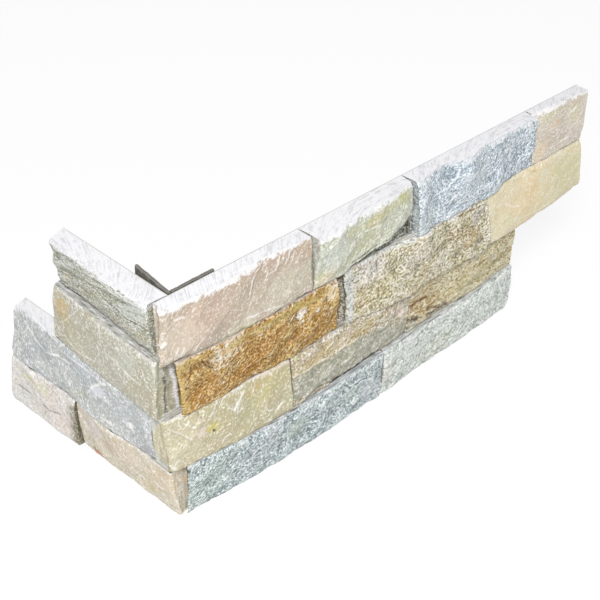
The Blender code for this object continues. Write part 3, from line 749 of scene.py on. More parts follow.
PALE_GRANULAR_MARKS = (
    Patch(163.3, 19.8, 8, 11, BLUSH_PALE, 0.4, ragged=0.7),
    Patch(218.3, 10.6, 20, 8, LIME_CREAM, 0.25, lean=25, ragged=0.7),
    Patch(276.7, 19.2, 10, 8, MINT, 0.3, lean=25, ragged=0.7),
    Seam(((187.1, 29.3), (196.8, 27.3), (206, 28.1)), 0.8, CHALK, 0.5, 0.3),
    Seam(((230.7, 20.7), (240.4, 20.7), (247, 25.1)), 0.8, CHALK, 0.5, 0.3),
)

OLIVE_RIDGED_MARKS = (
    Patch(10.6, 28.8, 16, 6, MIST, 0.6, lean=-28, ragged=0.6),
    Patch(74.6, 28.9, 8, 5, MIST, 0.4, lean=-25, ragged=0.7),
    Patch(56, 13.2, 16, 4, STRAW_GREY, 0.5, lean=-30, ragged=0.6),
    Patch(13.2, 5.7, 12, 3, STRAW_GREY, 0.5, lean=-30, ragged=0.6),
    Seam(((-4.6, 40.1), (-4.1, 32), (-4.8, 23.3)), 2.2, MOSS_DARK, 0.8),
    Seam(((94.1, 13), (79.6, 14.2), (64, 13)), 1, OLD_STRAW, 0.5, -0.3),
    Seam(((48.8, 11.2), (31.6, 9.4), (13.3, 11.1), (-0.1, 12.6)), 2.6, TAN, 0.4),
    Seam(((42.3, 33.4), (30, 30.9), (15.4, 31.8)), 0.9, CHALK, 0.6, 0.5),
    Seam(((29.2, 35.5), (18.8, 32.7), (8.2, 33.6)), 0.9, CHALK, 0.6, 0.5),
    Seam(((86, 25.6), (69.2, 26.6), (51.4, 31.4)), 1, SMOKE, 0.5, -0.4),
    Seam(((54.8, 24.9), (41.3, 19.8), (25.7, 17.7), (10.5, 18)), 1, SMOKE, 0.55, -0.5),
    Seam(((35.3, 20.3), (21, 17.6), (5.5, 19.5), (-3.4, 20.3)), 1, BARK, 0.55, -0.5),
)

BEIGE_CORNER_MARKS = (
    Patch(86.1, 24.9, 7, 9, TAN, 0.75, ragged=0.5),
    Patch(74.9, 13.5, 13, 10, STRAW_GREY, 0.45, ragged=0.6),
    Patch(18.3, 27.1, 9, 8, MIST, 0.25, lean=-20, ragged=0.7),
    Patch(28.8, 30.1, 2, 1.4, CHALK, 0.6, lift=0.2),
    Patch(10.3, 35.2, 2, 1.4, CHALK, 0.6, lift=0.2),
    Patch(-6.1, 28.2, 4.5, 9, OLIVE_GREY_PALE, 0.9),
    Seam(((48.1, 35.7), (45.5, 33.2), (46, 27.6)), 0.8, CHALK, 0.7, 0.3),
    Seam(((86.2, 16.4), (77.1, 26.3), (68.5, 35.6)), 0.9, CHALK, 0.5, 0.3),
    Seam(((84.3, 8.1), (75.4, 6), (64.4, 5.2), (51.7, 8.2)), 1.2, FLINT_CREAM, 0.7, 0.3),
    Seam(((58.7, 34.7), (50.8, 36.2), (46.8, 31.8)), 0.9, FLINT_CREAM, 0.5, 0.2),
    Seam(((22, 18.8), (13.3, 17.5), (6.7, 17.9)), 0.8, CHALK, 0.6, 0.3),
    Seam(((42.5, 20.5), (33.6, 21.3), (27.8, 18.9)), 0.8, CHALK, 0.5, 0.3),
    Seam(((51.7, 8.9), (46.5, 17.5), (48.5, 21.3)), 0.8, CHALK, 0.4, 0.3),
    Seam(((-2.6, 44.8), (-1.3, 34.7), (-6, 28.3), (-8, 16.1)), 1.2, FLINT_CREAM, 0.6, 0.2),
    Seam(((-8.3, 20.2), (-10.5, 9.5), (-11.9, -2.5)), 2.4, STRAW_GREY, 0.8),
    Seam(((-15.3, 25.7), (-16.6, 14.9), (-19.4, -0.2)), 1.5, MOSS_GREY, 0.8),
    Seam(((-14.9, 30.8), (-19.7, 17.8), (-24.1, 2.4), (-24.8, -6.2)), 1.5, LILAC_WHITE, 0.95, 0.3),
    Seam(((-23.7, -5.6), (-24.6, -1.7), (-24.4, 4.3)), 1.3, MIST, 0.7),
    Seam(((-12.2, 24.6), (-14.5, 13.9), (-16.4, -2.1)), 1.7, SOOT, 0.95, -0.4),
    Seam(((-18.3, 30.5), (-22.6, 16.4), (-25.8, 4.9)), 1.4, SOOT, 0.85, -0.3),
)

GREY_SLATE_MARKS = (
    Patch(111.1, 20.6, 9, 5, SHADE_GREY, 0.7, lean=-30, ragged=0.4),
    Patch(65.6, 30.8, 12, 6, SHADE_BLUE_PALE, 0.6, lean=-30, ragged=0.5),
    Patch(51.1, 24.7, 7, 4, LILAC_WHITE, 0.7, lean=-30, ragged=0.5),
    Patch(14.7, 28, 20, 9, SHADE_BLUE_PALE, 0.45, lean=-30, ragged=0.6),
    Patch(6.2, 1.2, 9, 5, SHADE_LILAC, 0.7, lean=-20, ragged=0.4),
    Patch(40.4, 6.2, 2.6, 1.8, CHALK, 0.7, lean=-20, lift=0.2),
    Patch(75.9, 5.8, 12, 4, STRAW_GREY, 0.4, lean=-30, ragged=0.7),
    Patch(128.7, 31.8, 8, 7, SHADE_LILAC, 0.35, lean=-20, ragged=0.6),
    Patch(21.2, 15.8, 4, 2, CHALK, 0.7, lean=-35, ragged=0.8),
    Patch(69.9, 32, 14, 4, SHADE_BLUE_PALE, 0.5, lean=-30, ragged=0.6),
    Seam(((128.7, 31.8), (117.3, 24.7), (105.6, 22.1), (91.4, 27.1)), 1.3, CHALK, 0.85, 0.4),
    Seam(((91.4, 26.4), (78.4, 27.2), (66.6, 25.2)), 1.1, CHALK, 0.7, 0.3),
    Seam(((89.1, 31.3), (72.2, 33.5), (57.5, 32.5), (43.6, 32.5)), 1, CHALK, 0.6, 0.3),
    Seam(((123.3, 38.6), (107.5, 36.9), (93.9, 35.8)), 0.9, CHALK, 0.5, 0.3),
    Seam(((61.6, 16.3), (54.1, 26.6), (43.8, 33.8)), 1.3, CHALK, 0.8, 0.3),
    Seam(((28.2, 15.6), (22, 16.9), (17.1, 13.5)), 1.4, CHALK, 0.75, 0.3),
    Seam(((47.8, 6.5), (36.9, 6), (28.3, 5.4)), 1.2, FLINT_CREAM, 0.8, 0.2),
)

CREAM_CORNER_MARKS = (
    Patch(62.1, 2.4, 4.4, 3.2, RUST, 0.95, lean=-30, ragged=0.6, lift=0.2),
    Patch(65.5, 4.9, 1.6, 1.4, MOSS_DARK, 0.8),
    Patch(10, 10.1, 2.2, 5.5, MOSS, 0.7, lean=-10),
    Patch(9.4, 15.9, 1.6, 1.6, OLD_STRAW, 0.8),
    Patch(42.6, 24.1, 16, 6, BLUSH, 0.35, lean=-30, ragged=0.6),
    Patch(-12, 17.4, 9, 9, FLINT_CREAM, 0.35, ragged=0.8),
    Patch(-2.7, 23.8, 22, 10, PEACH, 0.26, lean=-25, ragged=0.7),
    Patch(60.5, 25.5, 10, 9, FLINT_LILAC, 0.4, lean=-25, ragged=0.7),
    Patch(-23.1, 15.2, 7, 18, FLINT_CREAM, 0.55, ragged=0.8),
    Patch(-25.6, 22.5, 3, 3, PEACH, 0.8, ragged=0.9),
    Patch(-24.1, 12.7, 3, 4, PEACH, 0.8, ragged=0.9),
    Patch(19.5, 27.2, 14, 4, BLUSH_PALE, 0.35, lean=-30, ragged=0.6),
    Seam(((10.5, 15.1), (2.8, 16.7), (-3.9, 17.6)), 0.9, CHALK, 0.8, 0.3),
    Seam(((72, 38), (60.2, 39.2), (45, 41.5), (34.5, 39), (20, 39.6), (1.5, 43.1)), 1.5,
         FLINT_CREAM, 0.85, 0.2),
    Seam(((-29, 25.5), (-27.7, 16.5), (-23.2, 0.5)), 2, YOLK_GREEN, 0.75),
    Seam(((13.9, 37.1), (7.4, 36.6), (-2, 39.5)), 0.8, CHALK, 0.5, 0.3),
    # Painted shadow line beside the raised ridge above it.
    Seam(((9.1, 13.4), (1.5, 14.5), (-5.3, 12.4)), 0.8, PAINTED_SHADOW, 0.5, -0.2),
)

WHITE_BLOCK_MARKS = (
    Patch(109.1, 28.1, 6, 7, LIME_CREAM, 0.45, ragged=0.6),
    Patch(131.1, 26.2, 8, 3, FLINT_CREAM, 0.4, lean=-30, ragged=0.7),
    Patch(134.7, 7.3, 9, 8, MIST, 0.45, lean=-30, ragged=0.6),
    Patch(100.8, 23.9, 9, 6, BLUSH_PALE, 0.35, lean=-30, ragged=0.6),
    Patch(92.8, 10.5, 9, 7, BLUSH_PALE, 0.4, lean=-30, ragged=0.5),
    Patch(75.8, 12.6, 8, 22, MOSS_SHADE, 0.95, ragged=0.4),
    Seam(((126.1, 31.1), (121.9, 30.6), (116.9, 29)), 1.7, YOLK_GREEN, 0.95, -0.2),
    Seam(((115.1, 21.5), (108.4, 19.6), (99, 22.5)), 0.8, CHALK, 0.7, 0.3),
    Seam(((137.1, 16.8), (131.9, 15.8), (125.4, 15.9)), 1.1, SMOKE, 0.85, -0.3),
    Seam(((111.3, 15), (104.2, 14.6), (94.2, 17.5)), 1, SMOKE, 0.75, -0.3),
)

SCHEDULE: tuple[Stone, ...] = (
    Stone("pink_corner_stone", Wing.RIGHT, 1, None, (-4.5, -1.4, -1.8, -3.2, -0.9),
          (-3.0, -0.6, 0.6, 1.4, 0.4), SCALLOPED, PINK_BEIGE, PINK_CORNER_MARKS,
          start_trim=(2.8, 4.4), start_cut=(-2.5, -6.0), start_rough=1.0, arris=3.0, end_tone=0.1,
          bare_from=-0.05),
    Stone("arched_cream_stone", Wing.RIGHT, 1, 89.2, (6.2, 4.8, 3.2, 1.3, -2.8),
          (0.4, 1.1, 1.2, 0.8, -0.5), SCALLOPED, GREEN_CREAM, ARCHED_CREAM_MARKS, start_rough=0.7,
          far_cut=1.2, arris=1.6, bare_from=-0.05, scar_edge=SCAR_EDGE),
    Stone("slate_blue_stone", Wing.RIGHT, 1, 120.7,
          (0.8, -2.2, -3.7, 2.6, -0.4, -1.6, -2.5, -2.1, -1.6),
          (5.4, 2.5, 3.3, 3.3, 3.6, 2.6, -1.2, -3.0, -2.9), GRANULAR, SLATE_BLUE, SLATE_BLUE_MARKS,
          start_rough=0.6, arris=1.8, bare_from=-0.05, saw_centre=(0.30, -0.09)),
    Stone("rose_end_stone", Wing.RIGHT, 1, 56.7, (-7.6, -5.0, -4.6, -2.8), (-2.6, -2.4, -2.4, -2.6),
          SMOOTH, ROSE_CREAM, ROSE_END_MARKS, far_trim=(0.0, 4.5), far_rough=1.0, bare_from=-0.05,
          saw_centre=(0.42, -0.09)),
    Stone("rust_stone", Wing.RIGHT, 2, None, (-2.0, 0.4, 1.2, 1.4, 0.2),
          (1.5, 1.7, 2.6, 1.5, 2.2, 3.6, 2.6, 2.2, 2.0), GRANULAR, RUST_BROWN, RUST_MARKS,
          start_cut=(-6.4, -5.0), start_turn=10.0, far_cut=4.5, far_rough=0.6, arris=1.6),
    Stone("buff_grain_stone", Wing.RIGHT, 2, 134.2,
          (-2.0, -1.2, -2.7, -0.5, 4.5, 3.0, 3.0, 2.5, 2.0),
          (3.0, 5.6, 7.6, 9.0, 6.5, 6.5, 7.2, 8.1, 8.0), GRANULAR, BUFF_GRAIN, BUFF_GRAIN_MARKS,
          start_cut=(3.0, 3.0), start_rough=0.8, arris=1.4),
    Stone("smooth_cream_stone", Wing.RIGHT, 2, 107.7, (1.0, -2.4, -2.4, -2.4),
          (5.6, 4.6, 2.0, -1.6), SMOOTH, WARM_CREAM, SMOOTH_CREAM_MARKS, far_trim=(2.5, -1.0),
          far_rough=0.8),
    Stone("pale_corner_stone", Wing.RIGHT, 3, None, (-2.8, 1.4, 2.0, 2.6), (1.4, 4.4, 6.4, 6.0),
          SCALLOPED, YELLOW_CREAM, PALE_CORNER_MARKS, start_trim=(-3.4, -0.8), start_rough=1.4,
          arris=3.4, end_tone=0.05, lap_edge=LAP_EDGE),
    Stone("banded_stone", Wing.RIGHT, 3, 105.2, (2.4, 2.0, 3.0, 3.0), (6.0, 4.8, 2.8, 1.0),
          GRANULAR, TAN_OLIVE, BANDED_MARKS),
    Stone("brown_layered_stone", Wing.RIGHT, 3, 114.7, (2.0, 2.2, 1.6, -1.0),
          (1.2, -0.8, -0.4, -4.4), LAYERED, OCHRE_BROWN, BROWN_LAYERED_MARKS, far_trim=(1.0, 0.0),
          far_rough=0.9),
    Stone("dark_slate_stone", Wing.RIGHT, 4, None, (2.6, 7.2, 7.6, 6.2), (1.2, 4.4, 4.6, 2.8),
          GRANULAR, DARK_SLATE, DARK_SLATE_MARKS, start_cut=(-4.4, -4.8), start_turn=10.0),
    Stone("pale_granular_stone", Wing.RIGHT, 4, 138.2, (5.8, 4.0, 2.4, -2.4),
          (2.8, 0.2, -1.4, -3.6), GRANULAR, PALE_GRAIN, PALE_GRANULAR_MARKS, far_trim=(-0.6, 0.0),
          far_rough=0.8),
    Stone("olive_ridged_stone", Wing.LEFT, 1, None, (1.8, 1.8, 1.2, 0.4), (-2.4, -5.4, -8.0, -9.4),
          FIBROUS, OLIVE_RIDGE, OLIVE_RIDGED_MARKS, far_trim=(3.4, -0.6), far_cut=4.5,
          far_rough=1.2, bare_from=-0.05, saw_centre=(-0.093, 0.118)),
    Stone("beige_corner_stone", Wing.LEFT, 2, None, (0.6, 0.2, -2.2, -5.0), (5.2, 2.6, 1.3, -2.0),
          SMOOTH, BEIGE, BEIGE_CORNER_MARKS, start_trim=(8.0, 8.0), start_cut=(2.4, -1.6),
          start_turn=0.7, start_rough=1.6, far_trim=(-1.5, -1.0), far_cut=2.0, far_rough=0.8,
          arris=1.6, end_tone=0.35),
    Stone("grey_slate_stone", Wing.LEFT, 3, None, (2.0, 1.0, -1.2, -4.0), (-0.6, 3.4, 0.0, 1.6),
          SCALLOPED, GREY_SLATE, GREY_SLATE_MARKS, far_trim=(3.0, 2.4), far_cut=2.4, far_rough=0.8,
          bare_from=0.0965, saw_centre=(-0.093, 0.175)),
    Stone("cream_corner_stone", Wing.LEFT, 4, None, (1.8, 1.5, 3.4, 0.6), (-4.6, -4.0, -3.8, -3.4),
          SCALLOPED, CREAM_PINK, CREAM_CORNER_MARKS, start_trim=(4.0, 4.0), start_cut=(-3.8, -3.0),
          start_turn=0.35, start_rough=0.7, far_rough=0.6, arris=2.6, end_tone=0.2),
    Stone("white_block_stone", Wing.LEFT, 4, 67.7, (0.2, 1.0, 2.0, 1.6), (-0.1, 0.5, 1.0, 1.3),
          SCALLOPED, PINK_WHITE, WHITE_BLOCK_MARKS, start_rough=0.7, far_trim=(2.6, 0.0),
          far_rough=0.8),
)


class Wire:
    """A node's output. Its operators add Math nodes to the tree it is in."""

    def __init__(self, graph: "Graph", socket: bpy.types.NodeSocket) -> None:
        """Keep the tree and the socket."""
        self.graph = graph
        self.socket = socket

    def __add__(self, other: "Wire | float") -> "Wire":
        """Sum."""
        return self.graph.math("ADD", self, other)

    def __radd__(self, other: float) -> "Wire":
        """Sum, number first."""
        return self.graph.math("ADD", other, self)

    def __sub__(self, other: "Wire | float") -> "Wire":
        """Difference."""
        return self.graph.math("SUBTRACT", self, other)

    def __rsub__(self, other: float) -> "Wire":
        """Difference, number first."""
        return self.graph.math("SUBTRACT", other, self)

    def __mul__(self, other: "Wire | float") -> "Wire":
        """Product."""
        return self.graph.math("MULTIPLY", self, other)

    def __rmul__(self, other: float) -> "Wire":
        """Product, number first."""
        return self.graph.math("MULTIPLY", other, self)

    def __truediv__(self, other: "Wire | float") -> "Wire":
        """Quotient."""
        return self.graph.math("DIVIDE", self, other)

    def __rtruediv__(self, other: float) -> "Wire":
        """Quotient, number first."""
        return self.graph.math("DIVIDE", other, self)

    def held(self) -> "Wire":
        """The value, held between 0 and 1."""
        return self.graph.math("ADD", self, 0.0, use_clamp=True)

    def between(self, low: float, high: float) -> "Wire":
        """Soft step as the value goes from low to high."""
        limits = {"Value": self, "From Min": low, "From Max": high}
        return self.graph.add("ShaderNodeMapRange", limits,
                              interpolation_type="SMOOTHSTEP").out("Result")

    def terraced(self, count: int, edge: float) -> "Wire":
        """The value broken into flat steps with steep edges.

        Args:
            count: Steps from 0 to 1.
            edge: Share of a step that its slope takes.

        Returns:
            The stepped value.
        """
        scaled = self * float(count)
        part = self.graph.math("FRACT", scaled)
        flat = self.graph.math("FLOOR", scaled)
        return (flat + ((part - (1.0 - edge)) / edge).held()) / float(count)


class Node:
    """A node that has been added, with its outputs by name."""

    def __init__(self, graph: "Graph", node: bpy.types.Node) -> None:
        """Keep the tree and the node."""
        self.graph = graph
        self.node = node

    def out(self, name: str | int) -> Wire:
        """Output of that name or place."""
        return Wire(self.graph, self.node.outputs[name])


class Graph:
    """A shader or geometry tree that is being built."""

    def __init__(self, tree: bpy.types.NodeTree) -> None:
        """Start on an empty tree."""
        self.tree = tree
        tree.nodes.clear()

    def add(self, kind: str, values: dict | None = None, **settings: object) -> Node:
        """Add any node.

        Args:
            kind: The node's type.
            values: Value or wire for each input, by name or place.
            **settings: The node's own settings, which are set first.

        Returns:
            The node.
        """
        node = self.tree.nodes.new(kind)
        for name, value in settings.items():
            setattr(node, name, value)
        for key, value in (values or {}).items():
            if isinstance(key, str):
                socket = next(s for s in node.inputs if s.name == key and s.enabled)
            else:
                socket = node.inputs[key]
            if isinstance(value, Wire):
                self.tree.links.new(value.socket, socket)
            else:
                socket.default_value = value
        return Node(self, node)

    def math(self, operation: str, *terms: Wire | float, use_clamp: bool = False) -> Wire:
        """Add a Math node.

        Args:
            operation: What it does.
            *terms: Its inputs, in order.
            use_clamp: Whether the result is held between 0 and 1.

        Returns:
            The result.
        """
        return self.add("ShaderNodeMath", dict(enumerate(terms)), operation=operation,
                        use_clamp=use_clamp).out(0)

    def vector(self, operation: str, *terms: Wire | tuple[float, float, float]) -> Wire:
        """Add a Vector Math node.

        Args:
            operation: What it does.
            *terms: Its inputs, in order.

        Returns:
            The resulting vector.
        """
        return self.add("ShaderNodeVectorMath", dict(enumerate(terms)), operation=operation).out(0)

    def blend(self, share: Wire | float, first: Wire | Colour, second: Wire | Colour) -> Wire:
        """Mix two colours.

        Args:
            share: How much of the second.
            first: Colour at 0.
            second: Colour at 1.

        Returns:
            The mixed colour.
        """
        ends = [c if isinstance(c, Wire) else (*linear(c), 1.0) for c in (first, second)]
        return self.add("ShaderNodeMix", {0: share, 6: ends[0], 7: ends[1]},
                        data_type="RGBA").out(2)

    def stretched(self, place: Wire, scale: Sequence[float],
                  turn: Sequence[float] = (0.0, 0.0, 0.0),
                  shift: Sequence[float] = (0.0, 0.0, 0.0)) -> Wire:
        """Turn a place about the axes, then stretch it, and shift it.

        Args:
            place: The vector.
            scale: Factor along each axis.
            turn: Turn about each axis.
            shift: What is added in the end.

        Returns:
            The new vector.
        """
        turned = self.add("ShaderNodeVectorRotate", {"Vector": place, "Rotation": tuple(turn)},
                          rotation_type="EULER_XYZ").out(0)
        return self.vector("MULTIPLY_ADD", turned, tuple(scale), tuple(shift))

    def cloud(self, place: Wire, scale: Wire | float, detail: float = 2.0, rough: float = 0.5,
              warp: float = 0.0) -> Wire:
        """Noise between 0 and 1, centred on a half.

        Args:
            place: Where it is read.
            scale: Its scale.
            detail: Octaves.
            rough: How much the finer octaves count.
            warp: Distortion.

        Returns:
            The value.
        """
        return self.add("ShaderNodeTexNoise", {"Vector": place, "Scale": scale, "Detail": detail,
                                               "Roughness": rough, "Distortion": warp}).out(0)

    def warped(self, place: Wire, scale: float, reach: float, shift: Sequence[float]) -> Wire:
        """Place pushed about by noise.

        Args:
            place: The vector.
            scale: Scale of the noise.
            reach: How far it pushes at most.
            shift: What is added to the place.

        Returns:
            The new vector.
        """
        moved = self.vector("ADD", place, tuple(shift))
        push = self.add("ShaderNodeTexNoise",
                        {"Vector": moved, "Scale": scale, "Detail": 2.0}).out("Color")
        return self.vector("MULTIPLY_ADD", push, (reach, reach, reach), moved)

    def cells(self, place: Wire, scale: Wire | float, feature: str = "F1") -> Wire:
        """Distance in a pattern of cells."""
        return self.add("ShaderNodeTexVoronoi", {"Vector": place, "Scale": scale},
                        feature=feature).out("Distance")


class GrainTree:
    """Geometry Nodes tree that breaks a lofted face into shells, flakes, grain and pits."""

    SIZES: tuple[str, ...] = ("seed", "tilt", "shell", "shell_run", "shell_rise", "grain",
                              "grain_pitch", "flake", "flake_run", "flake_pitch", "pit",
                              "pit_pitch")

    def __init__(self) -> None:
        """Build the tree with its named inputs."""
        self.group = bpy.data.node_groups.new("split_grain", "GeometryNodeTree")
        face = self.group.interface
        face.new_socket("Geometry", in_out="INPUT", socket_type="NodeSocketGeometry")
        for name in self.SIZES:
            face.new_socket(name, in_out="INPUT", socket_type="NodeSocketFloat")
        face.new_socket("finish", in_out="INPUT", socket_type="NodeSocketMaterial")
        face.new_socket("Geometry", in_out="OUTPUT", socket_type="NodeSocketGeometry")
        self.g = Graph(self.group)
        self.given = self.g.add("NodeGroupInput")
        self._wire()

    def _wire(self) -> None:
        """Wire the tree."""
        g, given = self.g, self.given
        place = self._place()
        shell = self._shells(place)
        fine = g.cloud(place, 1.0 / given.out("grain_pitch"), 2.0, 0.55)
        sheet = g.cloud(self._spread(place, "flake_run", "flake_pitch"), 1.0)
        flake = sheet.terraced(6, 0.14)
        hollow = g.cells(place, 1.0 / given.out("pit_pitch"))
        pit = (1.0 - hollow.between(0.10, 0.40)) * sheet.between(0.44, 0.56)
        rough = (fine - 0.5) * 2.0 * given.out("grain")
        rough = rough + (shell - 0.42) * given.out("shell")
        rough = rough + (flake - 0.5) * 2.0 * given.out("flake")
        rough = rough - pit * given.out("pit")
        lift = (rough - self._stored("sink")) * self._stored("split_hold") * UNIT
        outward = self._stored("outward", "FLOAT_VECTOR")
        shift = g.add("ShaderNodeVectorMath", {0: outward, "Scale": lift}, operation="SCALE").out(0)
        moved = g.add("GeometryNodeSetPosition",
                      {"Geometry": given.out("Geometry"), "Offset": shift}).out(0)
        real = g.add("GeometryNodeRealizeInstances", {"Geometry": moved}).out(0)
        dressed = g.add("GeometryNodeSetMaterial",
                        {"Geometry": real, "Material": given.out("finish")}).out(0)
        g.add("NodeGroupOutput", {"Geometry": dressed})

    def _stored(self, name: str, kind: str = "FLOAT") -> Wire:
        """What is stored on the mesh under a name."""
        return self.g.add("GeometryNodeInputNamedAttribute", {"Name": name}, data_type=kind).out(0)

    def _spread(self, place: Wire, run: str, rise: str) -> Wire:
        """Measure a place in runs and rises of a pattern.

        Args:
            place: The place.
            run: Name of the input that holds the run.
            rise: Name of the input that holds the rise.

        Returns:
            The measured place.
        """
        across, up = 1.0 / self.given.out(run), 1.0 / self.given.out(rise)
        factor = self.g.add("ShaderNodeCombineXYZ", {0: across, 1: across, 2: up}).out(0)
        return self.g.vector("MULTIPLY", place, factor)

    def _place(self) -> Wire:
        """Read the place on the plan of the stone.

        Returns:
            The place, turned by the tilt and shifted by the seed.
        """
        g = self.g
        seed = g.add("ShaderNodeCombineXYZ", {1: self.given.out("seed")}).out(0)
        lean = g.add("ShaderNodeCombineXYZ", {1: self.given.out("tilt")}).out(0)
        plan = self._stored("plan", "FLOAT_VECTOR")
        turned = g.add("ShaderNodeVectorRotate", {"Vector": plan, "Rotation": lean},
                       rotation_type="EULER_XYZ").out(0)
        return g.vector("ADD", turned, seed)

    def _shells(self, place: Wire) -> Wire:
        """Shell-shaped hollows in two sizes that meet in sharp ridges.

        Args:
            place: Where the pattern is read.

        Returns:
            Height between 0 in a hollow and about 1 on a ridge.
        """
        g = self.g
        spread = self._spread(place, "shell_run", "shell_rise")
        drift = g.add("ShaderNodeTexNoise",
                      {"Vector": spread, "Scale": 0.8, "Detail": 1.0}).out("Color")
        centred = g.vector("SUBTRACT", drift, (0.5, 0.5, 0.5))
        warped = g.vector("MULTIPLY_ADD", centred, (1.3, 1.3, 1.3), spread)
        wide, small = g.cells(warped, 1.0), g.cells(warped, 2.4)
        return (wide * wide * 0.72 + small * small * 0.36).held()

    def work(self, obj: bpy.types.Object, split: Split, seed: float,
             finish: bpy.types.Material) -> None:
        """Run the tree on a piece and keep the result as its plain mesh.

        Args:
            obj: The piece, whose mesh has the plan, outward, split_hold and sink attributes.
            split: How the stone parts.
            seed: Offset into the noise.
            finish: The piece's material.
        """
        modifier = obj.modifiers.new("split_grain", "NODES")
        modifier.node_group = self.group
        values = {**vars(split), "seed": seed, "tilt": math.radians(split.tilt), "finish": finish}
        for item in self.group.interface.items_tree:
            if item.item_type == "SOCKET" and item.in_out == "INPUT" and item.name in values:
                modifier[item.identifier] = values[item.name]
        graph = bpy.context.evaluated_depsgraph_get()
        graph.update()
        worked = bpy.data.meshes.new_from_object(obj.evaluated_get(graph), depsgraph=graph,
                                                 preserve_all_data_layers=True)
        obj.modifiers.remove(modifier)
        plain = obj.data
        obj.data = worked
        bpy.data.meshes.remove(plain)
        worked.name = obj.name


